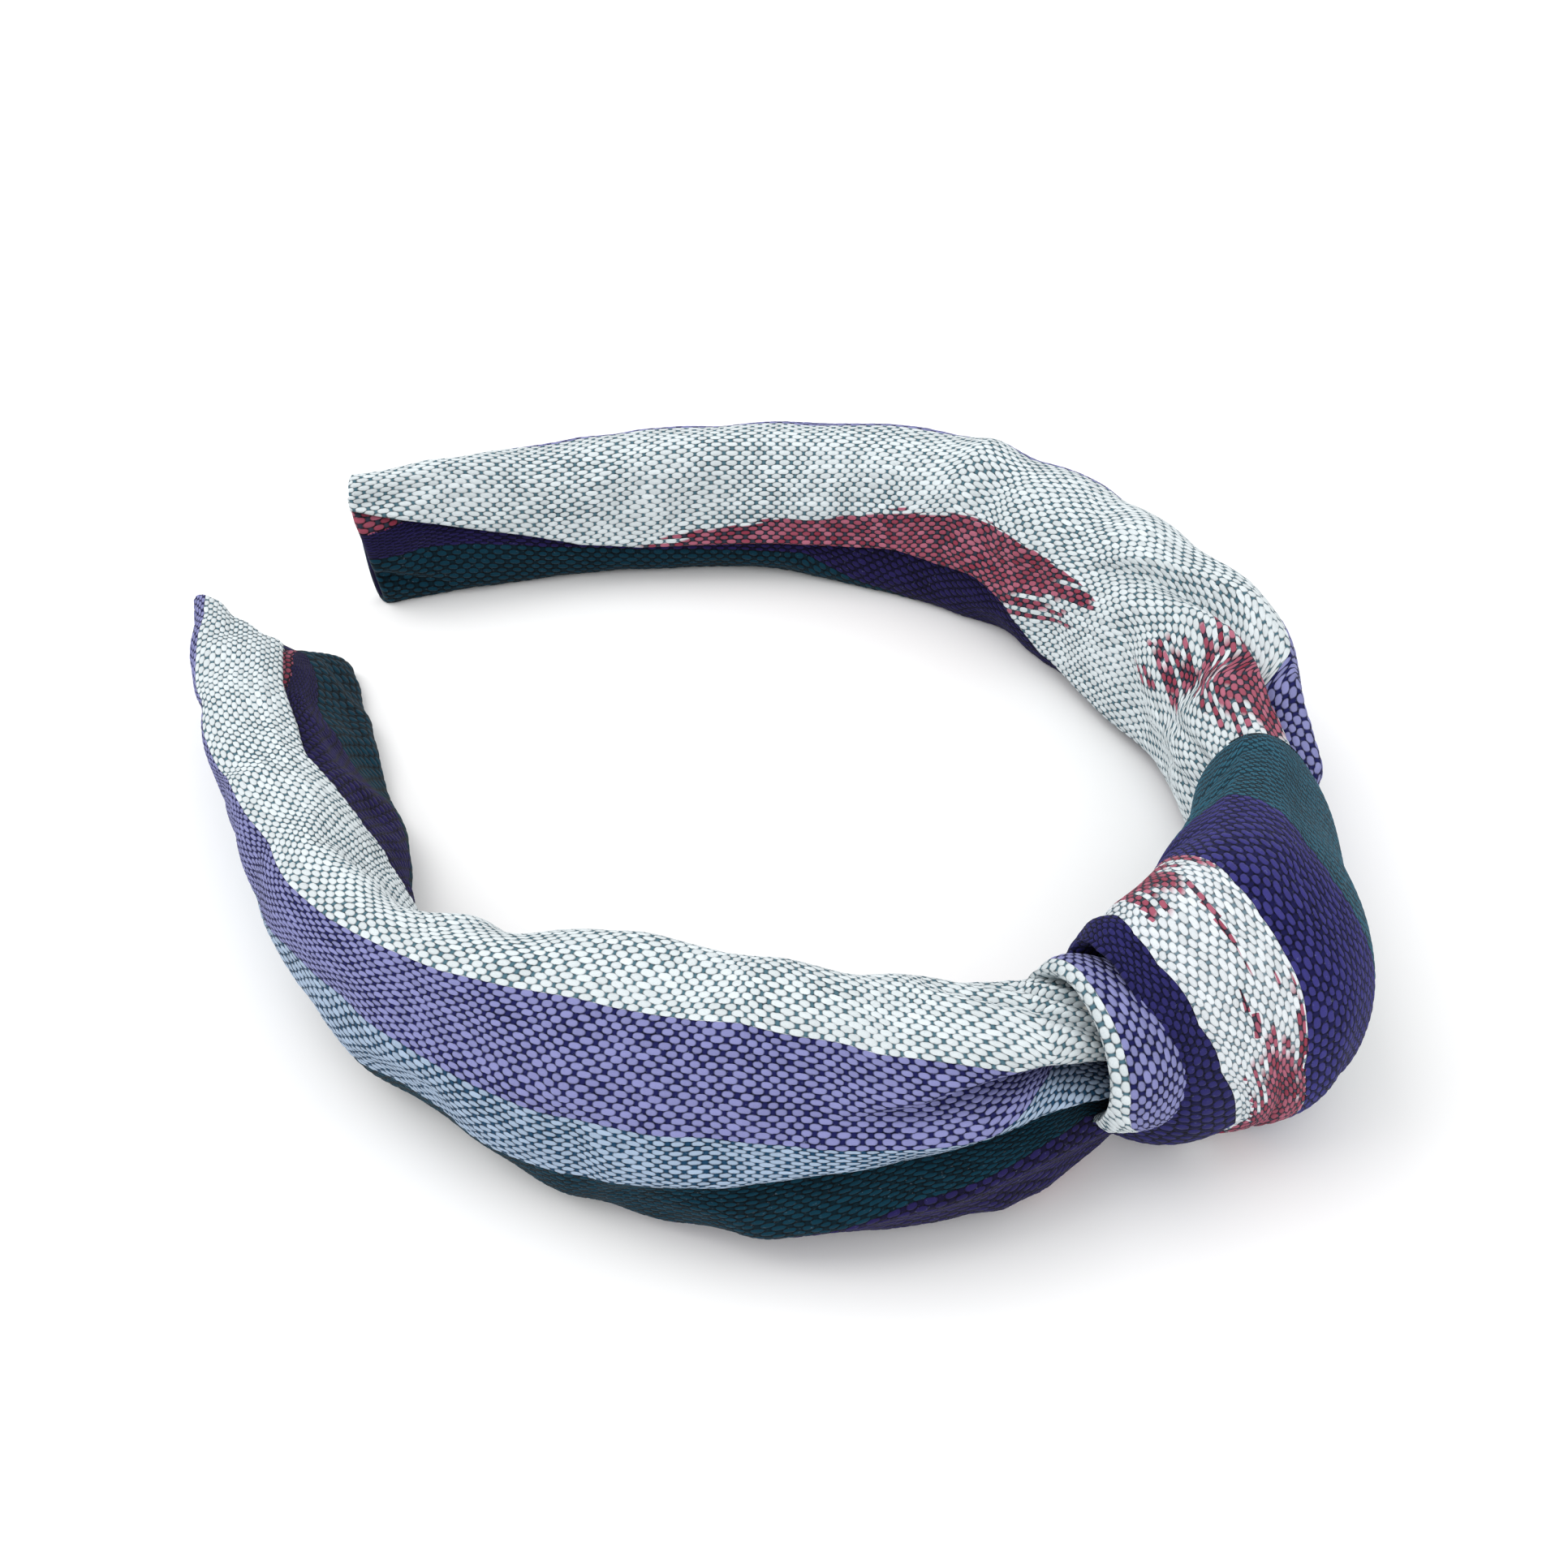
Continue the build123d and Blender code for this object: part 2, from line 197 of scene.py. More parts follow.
RIGHT = {
    "arm": RIGHT_ARM, "root": RIGHT_ROOT, "first": -0.5, "last": 10.0, "side": 1,
    "loose": 1.42, "white_close": 1.0,
    "dye_edge": [(-1, 5.6), (.3, 5.0), (.8, 4.2), (1.3, 2.0), (1.8, -1.8), (2.3, -6), (2.7, 99)],
    "seam": [(-1, .6), (2, .62), (3, .639), (3.5, .70), (4, .722), (4.5, .713), (5, .719),
             (5.5, .702), (6, .692), (7, .683), (7.5, .68), (8, .70), (8.5, .748), (9, .792),
             (9.5, .838), (10, .888)],
    "lines": [
        (0, [(-.5, 4.5), (0, 4.4), (.5, 4.5), (1, 6.2), (1.4, 8), (2, 8.4), (2.6, 7.8), (3, 6),
             (3.4, 4.2), (3.8, 3.4), (4.4, 4.2), (5, 2.4), (6, 1.4), (8.3, 1.6), (9, 3.6), (10, 4.6)]),
        (12, [(-.5, 15), (1, 16.4), (2, 17), (3, 15.5), (5, 14.5), (10, 14.5)]),
        (21, [(-.5, 21), (1, 22), (3, 22.5), (5, 22), (10, 20.5)]),
        (34, [(-.5, 30), (2, 34), (4, 37), (5.5, 38.4), (6, 40), (6.5, 38.8), (7, 38.1),
              (7.5, 37.2), (8, 36.8), (9, 37.8), (9.5, 37.2), (10, 36)]),
        (46, [(-.5, 39), (2, 43), (3.4, 46), (5, 50), (8.6, 46.4), (9, 44.4), (9.4, 42.6), (9.7, 41.2),
              (10, 40.2)]),
    ],
    "folds": [
        ((2.4, .42), [(-.4, 5.7, -1.6), (.3, 5.5, -2.5), (.8, 4.7, -3.0), (1.3, 2.5, -2.8),
                      (1.8, -1.3, -2.1), (2.3, -5.5, -1.1), (2.7, -9, 0)]),
        ((.42, 3.0), [(-.4, 6.7, 1.0), (.3, 6.5, 1.3), (.8, 5.7, 1.6), (1.3, 3.5, 1.6), (1.8, -.3, 1.2),
                      (2.3, -4.5, .7), (2.7, -8, 0)]),
        (2.4, [(.6, 1.4, 0), (1.0, 0, .7), (1.5, -4, .8), (2.0, -9, .5), (2.5, -12, 0)]),
        (1.1, [(-.4, -3, -.8), (.3, -4.6, -.6), (.9, -7, -.3), (1.3, -8.4, 0)]),
        (1.1, [(-.4, -.8, .5), (.4, -1.8, .4), (1.1, -3, 0)]),
        (1.0, [(-.4, 1.6, -.7), (.4, 1.2, -.5), (1.0, .6, 0)]),
        (1.2, [(-.4, -9, -.7), (.4, -11, -.6), (1.1, -14, -.3), (1.6, -16, 0)]),
        (1.2, [(-.4, -6.6, .6), (.5, -9, .4), (1.2, -11.4, 0)]),
        (1.1, [(-.4, -14, -.6), (.5, -17, -.5), (1.2, -20, 0)]),
        (1.2, [(-.4, 10, -.7), (.4, 11.6, -.5), (1.2, 13, 0)]),
        (1.2, [(-.4, 17, -.6), (.6, 20, -.4), (1.4, 23, 0)]),
        (1.8, [(2.6, -13.5, 0), (3.2, -14.5, -.8), (3.7, -15.5, -.9), (4.2, -14, -.3), (4.6, -12, 0)]),
        (2.2, [(4.6, -12.5, 0), (5.3, -13.5, .8), (6.2, -14, .5), (7, -14, 0)]),
        (1.2, [(9.1, 30, 0), (9.6, 31.2, -.9), (10, 32, -1.6)]),
        (1.4, [(9.0, -4, 0), (9.5, -4.8, -.6), (10, -5, -1.2)]),
        (1.5, [(9.3, -8, 0), (9.8, -8, .5), (10, -8, .5)]),
    ],
    "humps": [
        (4.35, 0, 1.1, 3.6, 9), (4.0, -7, -1.1, 3.0, 5), (4.15, -12.5, 1.0, 4, 4), (3.6, -9, .7, 5, 5),
        (5.45, 37, 1.9, 15, 5), (4.2, 39, .8, 5, 4), (3.3, -20, .8, 5, 4), (2.4, 2, .5, 7, 5),
        (7.4, -6, .35, 9, 7), (8.3, -9, -.4, 5, 6), (6.4, -5, -.3, 7, 6), (9.6, -11, .5, 4, 3),
        (2.9, -4, -.5, 4, 6), (9.2, 0, .4, 5, 5), (1.2, -12, .6, 6, 4),
        (3.6, 7, .6, 12, 7), (2.3, 7, .7, 11, 7), (1.1, 9, 1.2, 9, 6), (9.4, -3, -.5, 7, 6),
        (4.9, 4, .7, 14, 7), (8.7, 2, -.8, 16, 7), (4.8, 38, 1.0, 12, 5), (3.1, -29, 1.3, 11, 5),
        (2.1, -26, 1.3, 10, 5), (1.7, 6.5, 1.5, 6, 5), (1.2, 9, 1.7, 7, 5), (.1, -15, -2.2, 5, 7),
        (2.6, 6, .5, 14, 6), (-.3, 10, -1.6, 3, 7),
    ],
    "sideways": [(0, 0)],
    "dye": [
        [(-21, 3.4, 7.2), (-18, 2.9, 7.4), (-16, 2.7, 6.9), (-14.5, 2.6, 6.1), (-12.5, 2.5, 5.5),
         (-11.2, 2.6, 4.9), (-10.3, 4.0, 4.5)],
        [(-12.5, 1.15, 1.3), (-10, .95, 1.25), (-8, .75, 1.2), (-7, .55, 1.15), (-5, .38, 1.15),
         (-3.5, .25, 1.2), (-.5, .1, 1.25), (2, .0, 1.25), (4, .0, 1.0), (5.5, .0, .5)],
    ],
    "drawn": [(-10, -1.4), (-5, -1.6), (0, -1.1), (8, -.6), (20, .4), (27, 1.2), (33, .6), (42, -1.0)],
}
DRAWN_OVER = 16.0         # mm of the arm over which the tip's edge is drawn back
# the turned-in cloth at a tip: mm beyond the last station, mm inwards
TIP_CLOSE = [(0.45, 0.15), (0.8, 0.5), (0.95, 0.95), (0.75, 1.4), (0.1, 1.75), (-1.2, 1.95),
             (-2.4, 2.15)]
TIP_SHADED_ROWS, TIP_SHADE_V = 4, 40.0     # rows of it that take the dark purple stripe as painted shade in the turned-in end, and the cloth coordinate they take
# the seam's upper edge rolls under (from its hidden end) and the lower one goes behind it:
# mm round the section, mm outwards
ROLL_UNDER = [(1.5, -0.95), (0.5, -0.55), (-0.25, -0.15), (-0.45, 0.3)]
GO_BEHIND = [(0.6, -1.15), (1.5, -1.2)]
SEAM_OPENS = (0.2, 1.5)   # station where the seam starts to open, and the stations it takes
SINK_IN = 1.2             # mm that the hidden seam sinks inside the knot
UNDER_V, BEHIND_V = (2.2, 1.4, 0.7, 0.3), (0.6, 1.5)     # mm of cloth before and after the seam's edges
TURN_IN_V = (2.4, 1.6, 0.8, 0.3)                         # the same at the edges of the knot's turns
LOWEST = 0.05             # mm from the floor to the lowest cloth
UNDYED, DYED = -20.0, 20.0
DYE_TURN = 8              # mm round the section by which the dye's range is turned inwards
SIDEWAYS = (0.5, -0.87)   # x and y of the way that the arm's line is moved
SOFT_TURN = 6             # mm each way over which an arm's turn is softened where it leaves the knot
ROLL_FOLLOWS = (0.6, -0.2)          # the rolled edge keeps to the cloth's face: share, mm
LEAST_OPEN = 0.3          # share of the seam's opening that its lower edge always has
ROOT_LIFT = 3.0           # mm that an arm rises from its first station to its root in the knot
UNDERSIDE = (0.06, 0.05)  # mm from the floor to the cloth that lies on it, and its threads' rise
PRESSED = (0.8, 0.1, 0.35)          # mm: cloth below the first is pressed flat, midway at the second
UNEVEN_EDGE = (0.35, (2, 9), 51)    # mm of the tip's edge along the arm, bumps, seed
DYE_OUT = 6               # the dye field's fall for each mm round beyond a patch
HEM_V, FACE_V = 1.0, 46   # cloth coordinates between which the arms' stripes are undyed
SLOPE_STEP = 0.9          # mm each way that a section's slope is taken over
SEAM_LIP, SEAM_DIP = (0.75, 3.2), (-1.0, 2.6)    # at its upper and lower edge: mm outwards, mm wide
UNEVEN_FACE = [(0.16, (34, 12), 11), (0.07, (90, 30), 31)]  # mm, bumps along and round, seed
BEND_SHARE = 0.35         # share of the thickness at which the cloth's length is taken in a bend
OVAL_COUNT = 360


def oval():
    turn = np.linspace(0, 2 * np.pi, OVAL_COUNT, endpoint=False)
    c, s = np.cos(turn), np.sin(turn)
    power = 2 / ROUNDNESS
    return np.sign(c) * np.abs(c) ** power / 2, np.sign(s) * np.abs(s) ** power / 2


def round_from(w, middle, P):
    """mm round a section of perimeter P from a middle line, the shorter way."""
    return np.mod(w - middle + P / 2, P) - P / 2


def arm_grid(spec, rows, cols, threads, within=0.0, first=None):
    """Points (rows, columns, 3) in mm, their cloth coordinates and dye field.

    within is how many mm inside the cloth they lie, and first the station where they start.
    """
    first = spec["first"] if first is None else first
    fine = np.linspace(first, spec["last"], 4000)
    line = at(spec["arm"], spec["root"], fine)[:, :2]
    run = np.r_[0, np.cumsum(np.hypot(*np.diff(line, axis=0).T))]
    zero = np.interp(0, fine, run)
    s = np.linspace(0, run[-1], rows)
    t = np.interp(s, run, fine)
    close = np.array(TIP_CLOSE)
    s = np.r_[s, np.full(len(close), run[-1])]
    t = np.r_[t, np.full(len(close), spec["last"])]
    beyond = np.r_[np.zeros(rows), close[:, 0]]
    inset = np.r_[np.zeros(rows), close[:, 1]]
    x, y, tall, thick, lean = at(spec["arm"], spec["root"], t).T
    sideways = curve(spec["sideways"], t)
    x, y = x + SIDEWAYS[0] * sideways, y + SIDEWAYS[1] * sideways
    ahead = (at(spec["arm"], spec["root"], t + 0.02) - at(spec["arm"], spec["root"], t - 0.02))[:, :2]
    ahead = ahead / np.linalg.norm(ahead, axis=1)[:, None]
    soft = np.exp(-((s - zero) / SOFT_TURN) ** 2)[:, None]
    kernel = np.hanning(2 * int(SOFT_TURN / (run[-1] / rows)) + 3)
    kernel /= kernel.sum()
    half = len(kernel) // 2
    for k in range(2):
        wide = np.r_[np.full(half, ahead[0, k]), ahead[:, k], np.full(half, ahead[-1, k])]
        ahead[:, k] = (1 - soft[:, 0]) * ahead[:, k] + soft[:, 0] * np.convolve(wide, kernel, "valid")
    ahead = ahead / np.linalg.norm(ahead, axis=1)[:, None]
    out_x, out_y = spec["side"] * ahead[:, 1], -spec["side"] * ahead[:, 0]
    oa, ob = oval()
    a0, b0 = oa[None] * tall[:, None], ob[None] * thick[:, None]
    per = np.hypot(np.diff(np.c_[a0, a0[:, :1]], axis=1), np.diff(np.c_[b0, b0[:, :1]], axis=1))
    per = np.c_[np.zeros(len(t)), np.cumsum(per, axis=1)]
    P = per[:, -1]
    seam = curve(spec["seam"], t) * P
    c = np.linspace(0, 1, cols)
    w = (seam - P)[:, None] + P[:, None] * c[None]
    off = sum(deep * np.exp(-(P[:, None] * part / wide) ** 2)
              for part, deep, wide in ((c, *SEAM_LIP), (1 - c, *SEAM_DIP)))
    fade = np.clip((t[:, None] - SEAM_OPENS[0]) / SEAM_OPENS[1], 0, 1)
    off *= fade
    for width, points in spec["folds"]:
        p = np.array(points)
        deep = np.interp(t, p[:, 0], p[:, 2], left=0 if p[0, 0] > 0 else p[0, 2])
        mid = np.interp(t, p[:, 0], p[:, 1])
        apart = round_from(w, mid[:, None], P[:, None])
        before, after = width if isinstance(width, tuple) else (width, width)
        off += deep[:, None] * np.exp(-(apart / np.where(apart < 0, before, after)) ** 2)
    for ht, hw, rise, long, wide in spec["humps"]:
        along = (s - np.interp(ht, t[:rows], s[:rows]))[:, None]
        off += rise * np.exp(-(along / long) ** 2 - (round_from(w, hw, P[:, None]) / wide) ** 2)
    for size, bumps, seed in UNEVEN_FACE:
        off += size * smooth_noise(off.shape, bumps, seed + spec["side"])
    # fabric coordinate
    v = np.zeros_like(w)
    known = [(v0, curve(pts, t)) for v0, pts in spec["lines"]]
    top = known[0][1]
    arc = np.hypot(np.diff(w, axis=1), np.diff(off, axis=1))
    arc = np.c_[np.zeros(len(t)), np.cumsum(arc, axis=1)]
    for r in range(len(t)):
        xs = [seam[r] - P[r]] + [k[1][r] for k in known]
        vs = [-spec["white_close"] * np.interp(top[r], w[r], arc[r])] + [k[0] for k in known]
        end = seam[r]
        last = len(xs) - 1
        while last > 1 and xs[last] > end:
            last -= 1
        xs, vs = xs[:last + 1], vs[:last + 1]
        beyond_last = end - xs[-1]
        if last < len(known):
            more = known[last]
            beyond_last *= (more[0] - vs[-1]) / max(more[1][r] - xs[-1], 1e-6)
        xs.append(end)
        vs.append(vs[-1] + beyond_last)
        v[r] = np.interp(arc[r], np.interp(xs, w[r], arc[r]), vs)
    # painted shade: the tip's turned-in rows take the dark purple stripe
    v[-TIP_SHADED_ROWS:] = TIP_SHADE_V
    near_tip = np.clip((s - s[-1] + DRAWN_OVER) / DRAWN_OVER, 0, 1)[:, None]
    drawn = curve(spec["drawn"], w) * near_tip ** 2
    bend = np.linalg.norm(np.gradient(ahead[:rows], axis=0), axis=1) / np.gradient(s[:rows])
    cloth = np.r_[0, np.cumsum((1 + BEND_SHARE * bend * thick[:rows])[1:] * np.diff(s[:rows]))]
    cloth = np.r_[cloth, np.full(len(close), cloth[-1])] - np.interp(zero, s[:rows], cloth)
    cloth = (cloth + beyond) / spec["loose"]
    u = cloth[:, None] - drawn / spec["loose"]
    rise = threads * THREAD_RISE * weave_rise(u, v, ARM_PITCH)
    off = off + rise - inset[:, None] - within
    # the seam's rolled edges
    first, last = w[:, :1], w[:, -1:]
    roll, behind = np.array(ROLL_UNDER), np.array(GO_BEHIND)
    w = np.hstack([first + roll[None, :, 0], w, last + behind[None, :, 0]])
    edge_off = roll[None, :, 1] * fade + ROLL_FOLLOWS[0] * off[:, :1] + ROLL_FOLLOWS[1]
    back_off = behind[None, :, 1] * np.maximum(fade, LEAST_OPEN) - inset[:, None]
    edge_off = np.minimum(edge_off, off[:, :1])
    edge_off = edge_off - SINK_IN * (1 - fade)
    off = np.hstack([edge_off, off, back_off])
    u, drawn = (np.hstack([k[:, :1].repeat(len(roll), 1), k, k[:, -1:].repeat(len(behind), 1)])
                for k in (u, drawn))
    v = np.hstack([v[:, :1] - np.array(UNDER_V), v, v[:, -1:] + np.array(BEHIND_V)])
    # sections to points
    wm = np.mod(w, P[:, None])
    A, B, NA, NB = (np.zeros_like(w) for _ in range(4))
    for r in range(len(t)):
        pa, pb = np.r_[a0[r], a0[r, 0]], np.r_[b0[r], b0[r, 0]]
        A[r], B[r] = np.interp(wm[r], per[r], pa), np.interp(wm[r], per[r], pb)
        on, back = np.mod(wm[r] + SLOPE_STEP, P[r]), np.mod(wm[r] - SLOPE_STEP, P[r])
        fa = np.interp(on, per[r], pa) - np.interp(back, per[r], pa)
        fb = np.interp(on, per[r], pb) - np.interp(back, per[r], pb)
        size = np.hypot(fa, fb)
        NA[r], NB[r] = fb / size, -fa / size
    flip = np.sign((NA * A + NB * B).sum(1))[:, None]
    A, B = A + off * NA * flip, B + off * NB * flip
    tilt = np.radians(lean)[:, None]
    low = (a0 * np.cos(tilt) - b0 * np.sin(tilt)).min(1)[:, None]
    lift = np.clip(-t, 0, None)[:, None] * ROOT_LIFT
    out = A * np.sin(tilt) + B * np.cos(tilt)
    up = A * np.cos(tilt) - B * np.sin(tilt) - low - SINK + lift
    bottom = UNDERSIDE[0] + UNDERSIDE[1] * threads * weave_rise(u, v, ARM_PITCH)
    below, middle, softly = PRESSED
    pressed = bottom + (up - bottom) * 0.5 * (1 + np.tanh((up - middle) / softly))
    up = np.where(up < below, pressed, up)
    up = np.maximum(up, LOWEST)
    size, bumps, seed = UNEVEN_EDGE
    uneven = size * smooth_noise(up.shape, bumps, seed)[-1:, :] * (beyond != 0)[:, None]
    on = beyond[:, None] + uneven - drawn
    px = x[:, None] + out_x[:, None] * out + ahead[:, :1] * on + CENTRING[0]
    py = y[:, None] + out_y[:, None] * out + ahead[:, 1:] * on + CENTRING[1]
    # dye: mm inside (positive) or outside a dyed patch
    signed = round_from(w, -DYE_TURN, P[:, None]) - DYE_TURN
    dye = np.full(w.shape, UNDYED)
    for patch in spec["dye"]:
        p = np.array(patch)
        s0 = np.interp(np.interp(signed, p[:, 0], p[:, 1]), t[:rows], s[:rows])
        s1 = np.interp(np.interp(signed, p[:, 0], p[:, 2]), t[:rows], s[:rows])
        inside = np.minimum(s[:, None] - s0, s1 - s[:, None])
        outside = np.maximum(p[0, 0] - signed, signed - p[-1, 0])
        dye = np.maximum(dye, np.where(outside > 0, np.minimum(inside, -outside * DYE_OUT), inside))
    dye = np.where(signed > curve(spec["dye_edge"], t)[:, None], UNDYED, dye)
    dye = np.where(v > FACE_V, DYED, dye)
    dye = np.where((v > HEM_V) & (v <= FACE_V), UNDYED, dye)
    dye[-TIP_SHADED_ROWS:] = UNDYED
    return np.stack([px, py, up], -1), np.stack([u, v], -1), dye


# ---- the knot ---------------------------------------------------------------
# slices across the wide turn: x, y middle, half depth, half height, tilt, lowest z
KNOT = [
    (-38.2, -60.5, 8.3, 10.2, 4, 5.6), (-36.5, -61.7, 9.1, 11.5, 4, 4.4),
    (-35, -63, 9.8, 12.7, 5, 3.2), (-31, -66.5, 11.3, 15.7, 6, 1.4),
    (-25, -71.0, 13.2, 17.3, 8, .25), (-18, -71.9, 13, 17.1, 8, .15), (-11, -70.4, 12, 16, 8, .15),
    (-4, -68.5, 9.9, 14.7, 8, .15), (2, -67.1, 9.1, 13.7, 7, .15), (7, -65.6, 8.6, 12.9, 5, .15),
    (9.5, -64.4, 8.3, 12.6, 4, .15), (12, -63.3, 7.6, 12.1, 3, .15),
]
# where the cloth's lines lie on it: fabric coordinate, then (degrees round from the top, x)
KNOT_LINES = [
    (34, [(-53, -11), (-33, -8.3), (-22, -5.5), (-2, -7.5), (12, -9.5), (24, -14.1), (39, -16.9),
          (56, -17.5), (90, -17), (150, -15), (220, -12), (307, -11)]),
    (46, [(-53, -17.3), (-30, -20.9), (-4, -24.1), (9, -25.7), (27, -27.1), (45, -27.7), (75, -28.1),
          (98, -28.1), (132, -25.9), (180, -24), (240, -19), (307, -17.3)]),
    (58, [(-53, -28.9), (-33, -30.2), (-3, -33), (20, -34.2), (60, -34.6), (90, -33.6), (114, -31.8),
          (132, -30.4), (180, -30.4), (240, -29.3), (307, -28.9)]),
    (62.5, [(-53, -31.2), (-15, -34.4), (12, -35.9), (40, -37.1), (66, -37.5), (86, -37.8),
            (120, -37.6), (180, -35.8), (240, -32.4), (307, -31.2)]),
]
KNOT_RIGHT = 12.0
# folds that run round it: half width in mm of cloth, then (degrees, cloth coordinate, depth)
KNOT_FOLDS = [
    (1.0, [(-60, 58, -.5), (20, 58, -.45), (90, 58, -.4), (150, 57, -.9), (300, 58, -.5)]),
    (1.6, [(-60, 60.4, .35), (90, 60.4, .4), (150, 60, .7), (300, 60.4, .35)]),
    (1.3, [(70, 49, 0), (110, 50, -.7), (150, 51, -1.3), (200, 50, -1), (260, 48, 0)]),
    (1.4, [(80, 40, 0), (125, 41, -.7), (160, 42, -1.3), (210, 41, -1), (270, 38, 0)]),
    (1.5, [(-60, 30, -.5), (-30, 29, -.4), (0, 27, 0), (180, 28, 0), (230, 30, -.8), (300, 30, -.5)]),
    (1.6, [(-60, 22, -.6), (-20, 21, -.35), (10, 20, 0), (200, 20, 0), (250, 22, -.8), (300, 22, -.6)]),
    (1.4, [(-60, 40, -.7), (-40, 41, -.4), (-15, 41, 0), (200, 40, 0), (250, 40, -1), (300, 40, -.7)]),
]
KNOT_DYE = [  # (cloth coordinate, first and last degrees)
    [(45.5, -75, -26), (49, -75, -24), (51, -75, -18), (53.5, -75, -8), (56.4, -75, -1)],
    [(45.5, 74, 170), (49, 79, 170), (52, 86, 170), (55, 98, 168), (56.4, 106, 165)],
    [(50.4, 4, 34), (51.0, 6, 33)],
    [(52.4, 50, 78), (53.0, 52, 76)],
    [(48.3, 50, 60), (48.8, 51, 59)],
]
RIM_UNDER = [(3.0, -2.2), (1.2, -1.9), (0.0, -1.3), (-0.35, -0.6)]     # mm along x, mm outwards
RIM_ROUND, RIM_OVER = 0.9, 1.0      # mm that the rims dip, and the mm they dip over
WALL = 2.3                # mm from the cloth's face to the turn's inner face
INNER_COLS, INNER_STEP = 9, 0.5     # columns of that inner face, and the cloth between them
KNOT_BUMPS = (0.25, (7, 5), 77)     # mm, bumps round and along, seed
KNOT_WHITE_V = (46, 57.4) # cloth coordinates between which the knot can be dyed
KNOT_HIDDEN = (-84, 172)  # degrees between which it can be seen
SPOT_V, SPOT_STRONG = 2, 4.0        # a patch less than so many mm across is a spot, and dyed deeper
# the narrow turn: x, y, plan angle, half depth, half height, z of its middle, tilt
LOOP_INNER = (-33.2, -64.4, -20, 7.7, 9.9, 15.7, 6)
LOOP_OUTER = (-37.4, -59.4, -36, 8.5, 8.6, 16.6, 6)
LOOP_WIDE = 8.6           # mm of cloth across it
LOOP_BORDER = [(-60, 1.4), (60, 1.4), (105, 1.6), (120, 2.6), (135, 5), (150, 7.5), (175, 8.6),
               (220, 8), (300, 1.4)]      # mm of that which is white, by degrees
LOOP_LOOSE = 0.92
LOOP_BULGE, LOOP_RIM, LOOP_RIM_OVER = 0.9, 0.8, 0.9     # mm outwards, mm that its border dips, over mm
# a ripple in it: mm high, mm of cloth in a radian of it, and where and how far round (radians)
LOOP_RIPPLE = (0.16, 1.9, 3.4, 1.2)
LOOP_UNDER = [(3.0, -1.7), (1.4, -1.5), (0.2, -1.1), (-0.25, -0.5)]    # mm along its axis, mm outwards
LOOP_BEHIND, LOOP_BEHIND_V = [(0.4, -0.6), (0.2, -1.4)], (.3, 1.0)     # the same, and mm of cloth


def centred(p):
    p[..., 0] += CENTRING[0]
    p[..., 1] += CENTRING[1]
    return p


def periodic(pairs, degrees):
    pairs = np.array(pairs, float)
    return np.interp(np.mod(degrees + 60, 360) - 60, pairs[:, 0], pairs[:, 1])


def knot_at(x, turn):
    """Points of the wide turn at x and turn (radians from the top, outwards)."""
    k = np.array(KNOT, float)
    yc, ry, rz, tilt, low = (np.interp(x, k[:, 0], k[:, n]) for n in range(1, 6))
    tilt = np.radians(tilt)
    b, a = ry * np.sin(turn), rz * np.cos(turn)
    out, up = -a * np.sin(tilt) + b * np.cos(tilt), a * np.cos(tilt) + b * np.sin(tilt)
    reach = np.sqrt((rz * np.cos(tilt)) ** 2 + (ry * np.sin(tilt)) ** 2)
    return np.stack([x + 0 * turn, yc - out, up + reach + low], -1)


def smooth_knot(x, turn):
    """knot_at, softened along x so that its slices don't show."""
    reach = np.array([-3.0, -1.5, 0, 1.5, 3.0])
    share = np.array([1, 3, 4, 3, 1]) / 12
    ends = KNOT[0][0], KNOT[-1][0]
    total = 0
    for r, m in zip(reach, share):
        p = knot_at(np.clip(x + r, *ends), turn)
        p[..., 0] = x
        total = total + m * p
    return total


def normals_of(p, around):
    """Unit normals of a grid of points; around says that the rows close up."""
    du = np.roll(p, -1, 0) - np.roll(p, 1, 0)
    if not around:
        du[0], du[-1] = p[1] - p[0], p[-1] - p[-2]
    dv = np.empty_like(p)
    dv[:, 1:-1] = p[:, 2:] - p[:, :-2]
    dv[:, 0], dv[:, -1] = p[:, 1] - p[:, 0], p[:, -1] - p[:, -2]
    n = np.cross(du, dv)
    n /= np.maximum(np.linalg.norm(n, axis=-1, keepdims=True), 1e-9)
    middle = p.mean((0, 1))
    return n * np.sign(((p - middle) * n).sum())


